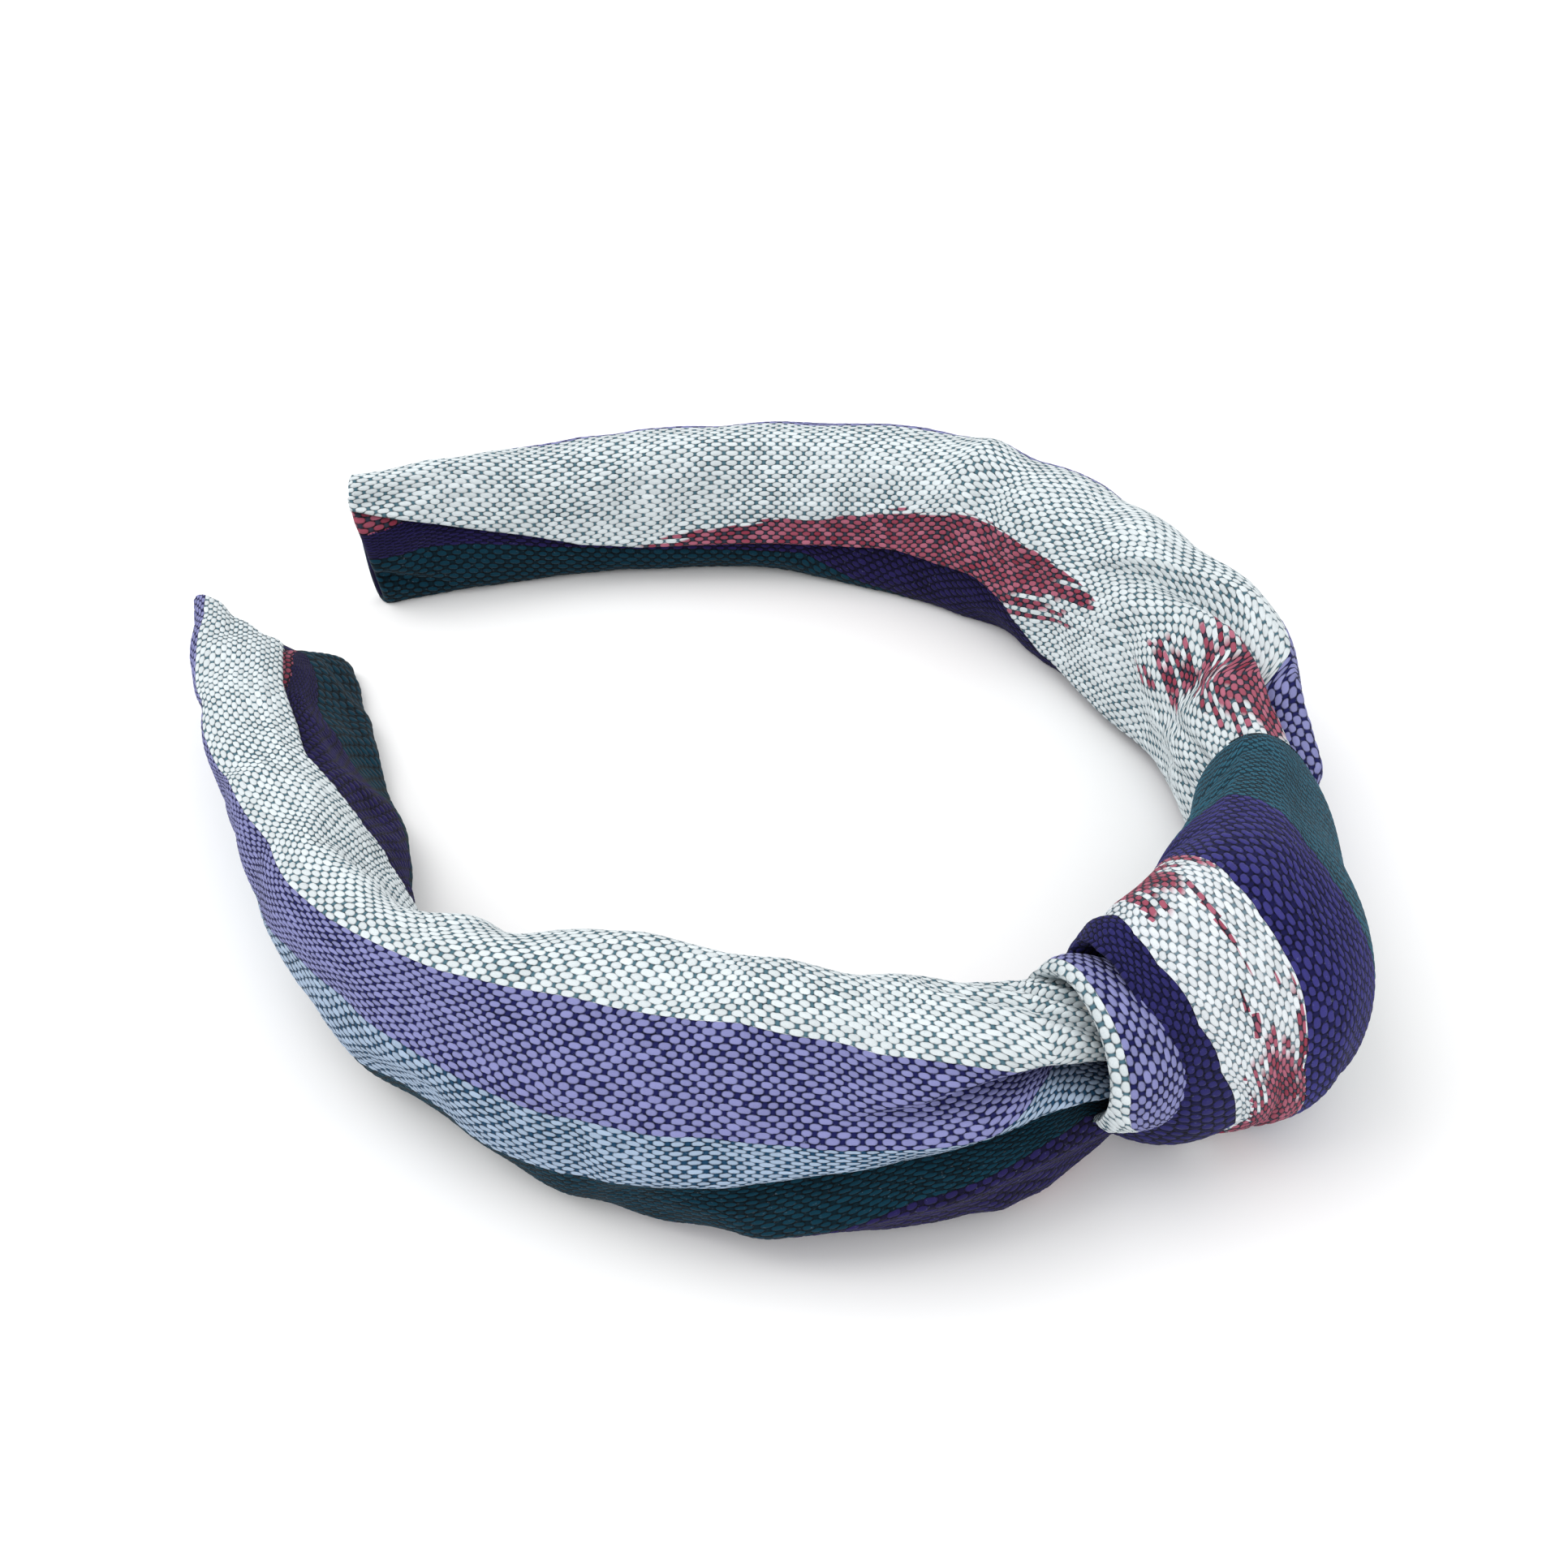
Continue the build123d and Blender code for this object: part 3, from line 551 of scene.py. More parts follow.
def knot_grid(rows, cols, threads):
    deg = np.linspace(0, 360, rows, endpoint=False)
    lines = [(KNOT_RIGHT, None)] + [(v, periodic(pts, deg)) for v, pts in KNOT_LINES]
    rim = lines[-1][1]
    gap = np.abs(KNOT_RIGHT - lines[1][1])
    c = np.linspace(0, 1, cols)
    x = rim[:, None] + (KNOT_RIGHT - rim)[:, None] * c[None]
    turn = np.radians(deg)[:, None] + 0 * x
    v = np.zeros_like(x)
    for r in range(rows):
        xs = [line[r] for _, line in lines[:0:-1]] + [KNOT_RIGHT]
        vs = [v0 for v0, _ in lines[:0:-1]] + [34 - gap[r]]
        v[r] = np.interp(x[r], xs, vs)
    p = smooth_knot(x, turn)
    n = normals_of(p, True)
    mid = p[:, cols // 2]
    u = np.r_[0, np.cumsum(np.linalg.norm(np.diff(mid, axis=0), axis=1))]
    around = u[-1] + np.linalg.norm(mid[0] - mid[-1])
    fit = round(around / (2 * KNOT_PITCH[0])) * 2 * KNOT_PITCH[0] / around
    u = (u * fit)[:, None] + 0 * x
    off = np.zeros_like(x)
    for width, points in KNOT_FOLDS:
        q = np.array(points, float)
        place = np.mod(deg + 60, 360) - 60
        mid_v = np.interp(place, q[:, 0], q[:, 1])
        deep = np.interp(place, q[:, 0], q[:, 2])
        off += deep[:, None] * np.exp(-((v - mid_v[:, None]) / width) ** 2)
    size, cells, seed = KNOT_BUMPS
    bumps = smooth_noise((rows // 2, cols), cells, seed)
    off += size * np.vstack([bumps, bumps[::-1], bumps[:1]])[:rows]
    edge = np.minimum(x - rim[:, None], KNOT_RIGHT - x)
    off -= RIM_ROUND * np.exp(-edge / RIM_OVER)
    off += threads * THREAD_RISE * weave_rise(u, v, KNOT_PITCH)
    main = p + off[..., None] * n
    under = np.array(RIM_UNDER)
    first, last = x[:, :1], x[:, -1:]
    left = smooth_knot(first + under[None, :, 0], turn[:, :1] + 0 * under[None, :, 0])
    left = left + under[None, :, 1, None] * n[:, :1]
    right_x = last - under[::-1][None, :, 0]
    right = smooth_knot(right_x, turn[:, :1] + 0 * right_x) + under[::-1][None, :, 1, None] * n[:, -1:]
    inner_x = np.linspace(0.92, 0.08, INNER_COLS)[None] * (last - first) + first
    inner = smooth_knot(inner_x, turn[:, :1] + 0 * inner_x)
    inner = inner - WALL * normals_of(inner[:, ::-1], True)[:, ::-1]
    p = centred(np.concatenate([left, main, right, inner], axis=1))
    p[..., 2] = np.maximum(p[..., 2], 0.06 + 0.03 * np.sin(p[..., 0]) ** 2)
    turned = np.array(TURN_IN_V)
    inner_v = v[:, -1:] - 3 - np.arange(INNER_COLS)[None] * INNER_STEP
    v = np.hstack([v[:, :1] + turned, v, v[:, -1:] - turned[::-1], inner_v])
    u = u[:, :1].repeat(p.shape[1], 1)
    place = np.mod(deg + 100, 360) - 100
    radius = around / (2 * np.pi)
    dye = np.full(v.shape, UNDYED)
    for patch in KNOT_DYE:
        q = np.array(patch, float)
        lo, hi = np.interp(v, q[:, 0], q[:, 1]), np.interp(v, q[:, 0], q[:, 2])
        inside = np.minimum(place[:, None] - lo, hi - place[:, None]) * np.pi / 180 * radius
        outside = np.maximum(q[0, 0] - v, v - q[-1, 0])
        strong = SPOT_STRONG if q[-1, 0] - q[0, 0] < SPOT_V else 0.0
        dye = np.maximum(dye, np.where(outside > 0, UNDYED, inside + strong * (inside > 0)))
    hidden = (place[:, None] > KNOT_HIDDEN[1]) | (place[:, None] < KNOT_HIDDEN[0])
    dye = np.where(hidden & (v > KNOT_WHITE_V[0]), 6 * np.sin(place[:, None] / 9 + v), dye)
    dye = np.where((v < KNOT_WHITE_V[0]) | (v > KNOT_WHITE_V[1]), UNDYED, dye)
    return p, np.stack([u, v], -1), dye


def ring(row, turn):
    x, y, az, ry, rz, z, tilt = row
    az, tilt = math.radians(az), math.radians(tilt)
    b, a = ry * np.sin(turn), rz * np.cos(turn)
    out, up = -a * np.sin(tilt) + b * np.cos(tilt), a * np.cos(tilt) + b * np.sin(tilt)
    return np.stack([x + math.sin(az) * out, y - math.cos(az) * out, z + up], -1)


def loop_grid(rows, cols, threads):
    deg = np.linspace(0, 360, rows, endpoint=False)
    turn = np.radians(deg)
    inner, outer = ring(LOOP_INNER, turn), ring(LOOP_OUTER, turn)
    c = np.linspace(0, 1, cols)[None, :, None]          # 0 at the white border
    p = outer[:, None] * (1 - c) + inner[:, None] * c
    n = normals_of(p, True)
    bulge = LOOP_BULGE * np.sin(np.pi * np.clip(c[..., 0], 0, 1) ** 0.8)
    around = np.linalg.norm(np.diff(p[:, cols // 2], axis=0), axis=1)
    u = np.r_[0, np.cumsum(around)]
    total = u[-1] + around[-1]
    u *= round(total * LOOP_LOOSE / (2 * ARM_PITCH[0])) * 2 * ARM_PITCH[0] / total
    u = u[:, None] + 0 * c[..., 0]
    v = LOOP_WIDE * c[..., 0] - periodic(LOOP_BORDER, deg)[:, None]
    off = bulge + threads * THREAD_RISE * weave_rise(u, v, ARM_PITCH)
    off = off - LOOP_RIM * np.exp(-c[..., 0] * LOOP_WIDE / LOOP_RIM_OVER)
    high, length, where, reach = LOOP_RIPPLE
    round_it = (np.mod(turn + 1, 6.283) - where)[:, None]
    off = off + high * np.sin(v / length) * np.exp(-(round_it / reach) ** 2)
    main = p + off[..., None] * n
    axis = inner.mean(0) - outer.mean(0)
    axis /= np.linalg.norm(axis)
    under = [outer[:, None] + axis * s + o * n[:, :1] for s, o in LOOP_UNDER]
    back = [inner[:, None] + axis * s + o * n[:, -1:] for s, o in LOOP_BEHIND]
    p = centred(np.concatenate(under + [main] + back, axis=1))
    p[..., 2] = np.maximum(p[..., 2], 0.08)
    v = np.hstack([v[:, :1] - np.array(TURN_IN_V), v, v[:, -1:] + np.array(LOOP_BEHIND_V)])
    u = u[:, :1].repeat(v.shape[1], 1)
    return p, np.stack([u, v], -1), np.full(v.shape, UNDYED)


# the gathered cloth inside the wide turn: x, y, height, thickness, z of its middle
GATHERS = [(-30.5, -64.6, 9.5, 5.5, 13.5), (-26, -67.0, 11, 7.0, 13.8), (-16, -69.0, 12, 8, 14.2),
           (-6, -68.6, 12, 8, 14.0), (3, -67.2, 11, 7.5, 13.4), (7.5, -66.2, 9.5, 6, 13.0)]
GATHER_FOLDS, GATHER_DEPTH = 11, 0.06      # flutes round it, and their depth as a share of its radius
GATHER_TWIST = 0.03       # radians in a mm


def gathered_grid(rows, cols):
    g = np.array(GATHERS, float)
    x = np.linspace(g[0, 0], g[-1, 0], rows)
    y, tall, thick, z = (np.interp(x, g[:, 0], g[:, k])[:, None] for k in range(1, 5))
    turn = np.linspace(0, 2 * np.pi, cols, endpoint=False)[None]
    twist = turn + GATHER_TWIST * (x[:, None] - x[0])
    flute = 1 + GATHER_DEPTH * np.cos(GATHER_FOLDS * twist + np.sin(3 * twist))
    p = np.stack([x[:, None] + 0 * turn + CENTRING[0], y + thick / 2 * flute * np.cos(turn) + CENTRING[1],
                  z + tall / 2 * flute * np.sin(turn)], -1)
    cloth = np.stack([x[:, None] + 0 * turn, turn * tall / 2 + 0 * x[:, None]], -1)
    return p, cloth, np.full(p.shape[:2], UNDYED)


# ---- meshes -----------------------------------------------------------------
def add_object(name, data):
    obj = bpy.data.objects.new(name, data)
    bpy.context.scene.collection.objects.link(obj)
    return obj


def grid_mesh(name, points, cloth, dye, rows_close):
    """A closed skin from a grid whose columns close up; its row ends are capped, or close up too."""
    rows, cols = points.shape[:2]
    index = np.arange(rows * cols).reshape(rows, cols)
    down = np.roll(index, -1, 0) if rows_close else index[1:]
    here = index if rows_close else index[:-1]
    right_h, right_d = np.roll(here, -1, 1), np.roll(down, -1, 1)
    quads = np.stack([here, right_h, right_d, down], -1).reshape(-1, 4)
    spots = points.reshape(-1, 3)
    uv = cloth.reshape(-1, 2)
    corner = uv[quads].copy()
    if rows_close:                      # the last row runs on past the end of the cloth
        wrap = np.zeros((rows, cols), bool)
        wrap[-1] = True
        step = cloth[1, 0, 0] - cloth[0, 0, 0]
        corner[wrap.reshape(-1), 2:, 0] = cloth[-1, 0, 0] + step
    joined = np.zeros((len(here), cols), bool)
    joined[:, -1] = True
    joined = joined.reshape(-1)
    corner[joined, 1:, 1] = corner[joined, :1, 1]
    faces = quads.tolist()
    loops = [corner.reshape(-1, 2)]
    fields = dye.reshape(-1)
    if not rows_close:
        for line, order in ((index[0], 1), (index[-1], -1)):
            middle = len(spots)
            spots = np.vstack([spots, spots[line].mean(0)])
            fields = np.r_[fields, UNDYED]
            ring_ids = line[::order]
            nxt = np.roll(ring_ids, -1)
            faces += [[int(middle), int(b), int(a)] for a, b in zip(ring_ids, nxt)]
            at_middle = uv[line].mean(0)
            fan = [np.tile(at_middle, (cols, 1)), uv[nxt], uv[ring_ids]]
            loops.append(np.stack(fan, 1).reshape(-1, 2))
    mesh = bpy.data.meshes.new(name)
    mesh.from_pydata((spots * MM).tolist(), [], faces)
    layer = mesh.uv_layers.new(name="cloth")
    layer.data.foreach_set("uv", (np.vstack(loops) / UV_SCALE).astype(np.float32).ravel())
    field = mesh.attributes.new("dye", "FLOAT", "POINT")
    field.data.foreach_set("value", fields.astype(np.float32))
    mesh.update()
    if signed_volume(mesh) < 0:
        mesh.flip_normals()
    mesh.polygons.foreach_set("use_smooth", np.ones(len(mesh.polygons), bool))
    return add_object(name, mesh)


def signed_volume(mesh):
    mesh.calc_loop_triangles()
    tri = np.zeros(len(mesh.loop_triangles) * 3, int)
    mesh.loop_triangles.foreach_get("vertices", tri)
    co = np.zeros(len(mesh.vertices) * 3)
    mesh.vertices.foreach_get("co", co)
    a, b, c = co.reshape(-1, 3)[tri.reshape(-1, 3)].transpose(1, 0, 2)
    return float((a * np.cross(b, c)).sum() / 6)


# ---- materials ----------------------------------------------------------------
def linear(r, g, b):
    out = []
    for k in (r, g, b):
        k /= 255
        out.append(k / 12.92 if k <= 0.04045 else ((k + 0.055) / 1.055) ** 2.4)
    return (*out, 1.0)


class Value:
    """What comes out of a node, with the math nodes as its arithmetic."""

    def __init__(self, graph, socket):
        self.graph, self.socket = graph, socket

    def __add__(self, other):
        return self.graph.math("ADD", self, other)

    def __radd__(self, other):
        return self.graph.math("ADD", other, self)

    def __sub__(self, other):
        return self.graph.math("SUBTRACT", self, other)

    def __rsub__(self, other):
        return self.graph.math("SUBTRACT", other, self)

    def __mul__(self, other):
        return self.graph.math("MULTIPLY", self, other)

    def __truediv__(self, other):
        return self.graph.math("DIVIDE", self, other)

    def __pow__(self, other):
        return self.graph.math("POWER", self, other)

    def __abs__(self):
        return self.graph.math("ABSOLUTE", self)


class Graph:
    """A short way to write a material's nodes."""

    def __init__(self, name):
        self.mat = bpy.data.materials.new(name)
        self.mat.use_nodes = True
        self.tree = self.mat.node_tree
        self.tree.nodes.clear()

    def node(self, kind, inputs=(), **settings):
        n = self.tree.nodes.new(kind)
        for key, value in settings.items():
            setattr(n, key, value)
        for key, value in dict(inputs).items():
            if isinstance(value, Value):
                self.tree.links.new(value.socket, n.inputs[key])
            else:
                n.inputs[key].default_value = value
        return n

    def value(self, kind, inputs=(), output=0, **settings):
        return Value(self, self.node(kind, inputs, **settings).outputs[output])

    def math(self, op, *values, clamp=False):
        return self.value("ShaderNodeMath", dict(enumerate(values)), operation=op, use_clamp=clamp)

    def vector(self, x, y=0.0, z=0.0):
        return self.value("ShaderNodeCombineXYZ", {0: x, 1: y, 2: z})

    def grey(self, value):
        return self.value("ShaderNodeCombineColor", {0: value, 1: value, 2: value})

    def noise(self, vector, scale, detail=2.0, rough=0.5):
        return self.value("ShaderNodeTexNoise", {"Vector": vector, "Scale": scale, "Detail": detail,
                                                 "Roughness": rough}, "Fac", noise_dimensions="3D")

    def ramp(self, value, stops, how="LINEAR"):
        n = self.node("ShaderNodeValToRGB", {"Fac": value})
        r = n.color_ramp
        r.interpolation = how
        while len(r.elements) > 1:
            r.elements.remove(r.elements[-1])
        r.elements[0].position, r.elements[0].color = stops[0]
        for position, color in stops[1:]:
            r.elements.new(position).color = color
        return Value(self, n.outputs["Color"])

    def bump(self, strength, distance, height):
        return self.value("ShaderNodeBump",
                          {"Strength": strength, "Distance": distance, "Height": height})

    def mix(self, share, a, b, blend="MIX"):
        return self.value("ShaderNodeMix", {0: share, 6: a, 7: b}, 2, data_type="RGBA", blend_type=blend)

    def finish(self, color, rough, **sockets):
        shader = self.value("ShaderNodeBsdfPrincipled",
                            {"Base Color": color, "Roughness": rough, **sockets})
        self.node("ShaderNodeOutputMaterial", {"Surface": shader})
        return self.mat


WHITE, LAVENDER, SKY = (206, 214, 217), (124, 126, 172), (150, 168, 190)
# the arms' teal and purple are darker than the knot's same yarns: partly the yarns' colour, partly
# painted shade for the arms' shaded lower sides
TEAL, PURPLE, NAVY = (7, 48, 64), (32, 27, 74), (40, 38, 93)
KNOT_TEAL, KNOT_PURPLE, KNOT_WHITE = (39, 86, 105), (52, 50, 112), (208, 214, 218)
RED, FADED_RED, RED_WEFT = (136, 52, 70), (182, 118, 138), (34, 14, 38)
STRIPES = [(-60, WHITE), (0, LAVENDER), (12, SKY), (21, TEAL), (34, PURPLE), (46, WHITE), (58, NAVY)]
KNOT_STRIPES = [(-60, KNOT_TEAL), (34, KNOT_PURPLE), (46, KNOT_WHITE), (58, NAVY)]
# the thread that crosses each stripe, and how much of the face the stripe's own floats cover; the arms'
# teal and purple wefts are darkened with their floats as painted shade
WEFT = {WHITE: (72, 104, 117), LAVENDER: (24, 26, 76), SKY: (24, 60, 88), TEAL: (1, 25, 35),
        PURPLE: (15, 11, 42), NAVY: (17, 17, 56), KNOT_TEAL: (12, 46, 60), KNOT_PURPLE: (21, 20, 66),
        KNOT_WHITE: (104, 126, 138)}
COVER = {WHITE: 0.95, LAVENDER: 0.86, SKY: 0.88, TEAL: 0.8, PURPLE: 0.8, NAVY: 0.8,
         KNOT_TEAL: 0.8, KNOT_PURPLE: 0.8, KNOT_WHITE: 0.97}
SPAN = (-60.0, 80.0)      # cloth coordinates that the colour ramps cover
LINT, LINT_SCALE, LINT_ABOVE = (150, 160, 176), 2.3, 0.62
# mm by which the dyed yarns' ends differ, and shares by which the floats' size does
THREAD_JITTER, SLOW_JITTER, FLOAT_JITTER, FLOAT_DROP = 11.0, 8.0, 7.0, 9.0
FLOAT_VARIES, PATCH_VARIES, DYE_SHRINKS = 0.16, 0.3, 0.14


def weave(name, stripes, pitch):
    """Handwoven plain weave from the cloth coordinates, striped by thread and dyed by the dye field."""
    g = Graph(name)
    uv = g.value("ShaderNodeUVMap", uv_map="cloth")
    mm = g.value("ShaderNodeVectorMath", {0: uv, 1: (UV_SCALE,) * 3}, operation="MULTIPLY")
    part = g.node("ShaderNodeSeparateXYZ", {0: mm})
    u, v = Value(g, part.outputs[0]), Value(g, part.outputs[1])

    def uneven(count, waves):
        for k, a, b in waves:
            wave = g.math("SINE", g.math("MULTIPLY_ADD", u, a, v * b))
            count = g.math("MULTIPLY_ADD", wave, k, count)
        return count
    U, V = uneven(u / pitch[0], UNEVEN_WEFT), uneven(v / pitch[1], UNEVEN_WARP)
    i = g.math("FLOOR", V)
    across = V - i - 0.5
    pair = (U + g.math("FLOORED_MODULO", i, 2.0)) * 0.5
    j = g.math("FLOOR", pair)
    along = pair - j - 0.5
    each = g.value("ShaderNodeTexWhiteNoise", {"Vector": g.vector(i, j)}, "Value", noise_dimensions="2D")
    thread = g.value("ShaderNodeTexWhiteNoise", {"W": i}, "Value", noise_dimensions="1D")
    patchy = g.noise(mm, 0.09, 3.0)
    # colours, by thread
    place = ((i + 0.5) * pitch[1] - SPAN[0]) / (SPAN[1] - SPAN[0])

    def by_stripe(values):
        stops = [((v0 - SPAN[0]) / (SPAN[1] - SPAN[0]), values[c]) for v0, c in stripes]
        return g.ramp(place, stops, "CONSTANT")
    warp = by_stripe({c: linear(*c) for c in WEFT})
    weft = by_stripe({c: linear(*w) for c, w in WEFT.items()})
    cover = by_stripe({c: (k, k, k, 1) for c, k in COVER.items()})
    dye = g.value("ShaderNodeAttribute", (), "Fac", attribute_name="dye")
    slow = g.noise(g.vector(i * 0.37), 1.0)
    edge = dye + ((thread - 0.5) * THREAD_JITTER + (slow - 0.5) * SLOW_JITTER)
    edge = edge + (each - 0.5) * FLOAT_JITTER - each ** 6.0 * FLOAT_DROP
    dyed = g.math("ADD", edge * 0.6, 0.5, clamp=True)
    # the floats: this thread's own, and the part of the next thread's that bulges over it
    size = cover + (each - 0.5) * FLOAT_VARIES + (patchy - 0.5) * PATCH_VARIES - dyed * DYE_SHRINKS
    along, across = abs(along), abs(across)

    def float_at(x, y):
        return (x / (size * FLOAT_LONG)) ** FLOAT_POWER + (y / (size * FLOAT_WIDE)) ** FLOAT_POWER

    def dome(d):
        return g.math("SQRT", g.math("MAXIMUM", 1.0 - d, 0.0))
    d = g.math("MINIMUM", float_at(along, across), float_at(0.5 - along, 1.0 - across))
    rise, face = dome(d), g.math("DIVIDE", 1.35 - d, 0.6, clamp=True)
    low = dome(((0.5 - along) / (0.43 - size * 0.3)) ** 2.0 + (across / 0.52) ** 2.0)
    # twist of the yarn, along each float
    fibre = g.noise(g.vector(u * 5.0, v * 16.0, thread), 1.0, 3.0)
    faded = g.mix(each * 0.6, linear(*RED), linear(*FADED_RED))
    warp = g.mix(dyed, warp, faded)
    weft = g.mix(dyed * 0.8, weft, linear(*RED_WEFT))
    # the floats' random tone by thread, fibre and float, times painted shade that darkens each float
    # towards its edges where it meets the next
    light = (0.7 + (thread * 0.14 + fibre * 0.34) + each * 0.12) * (0.62 + face * 0.42)
    warp = g.mix(1.0, warp, g.grey(light), "MULTIPLY")
    # painted shade: the weft is darkened in the hollows between the floats, outside the dome where it
    # shows
    weft = g.mix(1.0, weft, g.grey(0.22 + low * 0.88), "MULTIPLY")
    color = g.mix(face, weft, warp)
    # lint: small pale specks
    lint = g.math("MULTIPLY", g.noise(mm, LINT_SCALE, 3.0, rough=0.7) - LINT_ABOVE, 6.0, clamp=True)
    color = g.mix(lint * 0.3, color, linear(*LINT))
    bump = g.bump(0.75, 0.00016, rise + (low * 0.7 + fibre * 0.22))
    return g.finish(color, 0.82 + fibre * 0.14, **{
        "Normal": bump, "Sheen Weight": 0.05, "Sheen Roughness": 0.4, "Specular IOR Level": 0.12})


def plain_cloth(name, light, dark):
    """Loose fibres, for turned-in cloth, pads and thread."""
    g = Graph(name)
    spot = g.value("ShaderNodeTexCoord", (), "Object")
    coarse, fine = g.noise(spot, 900.0, 4.0), g.noise(spot, 5200.0, 3.0)
    wave = {"Vector": spot, "Scale": 420.0, "Distortion": 2.5, "Detail": 2.0}
    cross = g.value("ShaderNodeTexWave", wave, "Fac")
    color = g.mix((coarse + cross) * 0.5, linear(*dark), linear(*light))
    return g.finish(color, 0.8 + fine * 0.15, **{
        "Normal": g.bump(0.6, 0.0002, fine + cross), "Sheen Weight": 0.2, "Specular IOR Level": 0.2})


def band_plastic():
    g = Graph("band_plastic")
    spot = g.value("ShaderNodeTexCoord", (), "Object")
    grain, flow = g.noise(spot, 2600.0, 3.0), g.noise(spot, 90.0, 2.0)
    color = g.mix(flow, linear(226, 222, 212), linear(240, 238, 232))
    return g.finish(color, 0.34 + grain * 0.2, Normal=g.bump(0.25, 0.00005, grain))


# ---- simulated cloth ------------------------------------------------------------
SIM_ROWS, SIM_COLS = 112, 46
SIM_FRAMES = 16
SIM_SCALE = 10.0          # the solver is steadier on a cloth of ordinary size
SIM_REACH = 0.9           # mm that a point of the cloth may move
HELD_ROWS, HELD_COLS = (9, 4), (2, 3)   # held at each end, and at each edge of the seam
HELD_BELOW = 0.5          # mm: cloth on the floor is held too
# rows and columns of the smallest and largest wrinkles kept
WRINKLE_LEAST, WRINKLE_MOST = (2, 1), (9, 6)


def softened(field, along, across):
    """Mean over 2 n + 1 rows and columns, weighted to the middle."""
    for axis, n in ((0, along), (1, across)):
        weight = np.hanning(2 * n + 3)[1:-1]
        wide = np.pad(field, [(n, n) if k == axis else (0, 0) for k in range(3)], mode="edge")
        field = sum(w * np.take(wide, np.arange(k, k + field.shape[axis]), axis)
                    for k, w in enumerate(weight)) / weight.sum()
    return field


def settled(spec):
    """How far the stuffed sleeve's cloth moves when it fills, over a coarse grid (mm)."""
    points, _, _ = arm_grid(spec, SIM_ROWS, SIM_COLS, 0)
    rows, cols = points.shape[:2]
    flat = points.reshape(-1, 3)
    index = np.arange(rows * cols).reshape(rows, cols)
    here, down = index[:-1], index[1:]
    quads = np.stack([here, np.roll(here, -1, 1), np.roll(down, -1, 1), down], -1).reshape(-1, 4)
    mesh = bpy.data.meshes.new("settling")
    mesh.from_pydata((flat * MM * SIM_SCALE).tolist(), [], quads.tolist())
    obj = add_object("settling", mesh)
    held = np.zeros((rows, cols))
    held[:HELD_ROWS[0]], held[-len(TIP_CLOSE) - HELD_ROWS[1]:] = 1, 1
    held[:, :len(ROLL_UNDER) + HELD_COLS[0]], held[:, -len(GO_BEHIND) - HELD_COLS[1]:] = 1, 1
    held[points[..., 2] < HELD_BELOW] = 1
    group = obj.vertex_groups.new(name="held")
    for k in np.nonzero(held.ravel())[0]:
        group.add([int(k)], 1.0, "ADD")
    cloth = obj.modifiers.new("cloth", "CLOTH")
    st = cloth.settings
    st.quality, st.mass = 6, 0.25
    st.tension_stiffness = st.compression_stiffness = 14
    st.shear_stiffness, st.bending_stiffness = 5, 0.35
    st.vertex_group_mass = "held"
    st.shrink_min = -0.05
    st.use_pressure, st.uniform_pressure_force = True, 1.2
    st.effector_weights.gravity = 0
    cloth.collision_settings.use_collision = False
    scene = bpy.context.scene
    for f in range(1, SIM_FRAMES + 1):
        scene.frame_set(f)
        done = obj.evaluated_get(bpy.context.evaluated_depsgraph_get())
        co = np.zeros(len(flat) * 3)
        done.data.vertices.foreach_get("co", co)
    scene.frame_set(1)
    moved = co.reshape(rows, cols, 3) / (MM * SIM_SCALE) - points
    bpy.data.objects.remove(obj)
    bpy.data.meshes.remove(mesh)
    # its wrinkles are kept; the swelling itself is already in the sections
    moved = softened(moved, *WRINKLE_LEAST) - softened(moved, *WRINKLE_MOST)
    size = np.linalg.norm(moved, axis=-1, keepdims=True)
    moved *= SIM_REACH * np.tanh(size / SIM_REACH) / np.maximum(size, 1e-9)
    moved[held > 0] = 0
    return moved


def resampled(field, rows, cols):
    """Smooth enlargement of a coarse grid of vectors to rows x cols."""
    r = np.linspace(0, field.shape[0] - 1, rows)
    c = np.linspace(0, field.shape[1] - 1, cols)

    def taps(x, last):
        i = np.clip(np.floor(x).astype(int), 0, last - 1)
        f = x - i
        w = [(-f + 2 * f ** 2 - f ** 3) / 2, (2 - 5 * f ** 2 + 3 * f ** 3) / 2,
             (f + 4 * f ** 2 - 3 * f ** 3) / 2, (-f ** 2 + f ** 3) / 2]
        return [(np.clip(i + k - 1, 0, last), w[k]) for k in range(4)]
    half = sum(field[i] * w[:, None, None] for i, w in taps(r, field.shape[0] - 1))
    return sum(half[:, i] * w[None, :, None] for i, w in taps(c, field.shape[1] - 1))


# ---- the pieces -------------------------------------------------------------------
SPECS = {"left": LEFT, "right": RIGHT}
SLEEVE_GRID = {"left": (430, 216), "right": (440, 214)}     # rows and columns
PAD_WITHIN = 2.6          # mm from the cloth's face to the sponge
PAD_FIRST, PAD_SHORT = 0.25, 0.5            # station where it starts, stations it ends before the tip
PAD_GRID, ALLOWANCE_GRID = (150, 60), (150, 120)
ALLOWANCE = (1.5, 2.2)    # mm from the cloth's face to the turned-in edges, near and far side
ALLOWANCE_FIRST, ALLOWANCE_SHORT = 0.3, 0.35
ALLOWANCE_COLS = 12       # columns of the sleeve that they reach over
STRIP_SHORT = 6.5         # mm of the left strip's end that the drawn-back tip has no room for
STRIP_TIP_WAY = np.array([math.sqrt(0.5), math.sqrt(0.5), 0.0])
COTTON = weave("striped_cotton", STRIPES, ARM_PITCH)
SPONGE = plain_cloth("sponge", (236, 228, 206), (206, 196, 172))
KNOT_COTTON = weave("knot_cotton", KNOT_STRIPES, KNOT_PITCH)
LOOKS = {
    "core": band_plastic(),
    "seam_allowance": plain_cloth("seam_cotton", (64, 56, 120), (26, 28, 72)),
    "thread": plain_cloth("sewing_thread", (60, 54, 96), (30, 30, 62)),
}


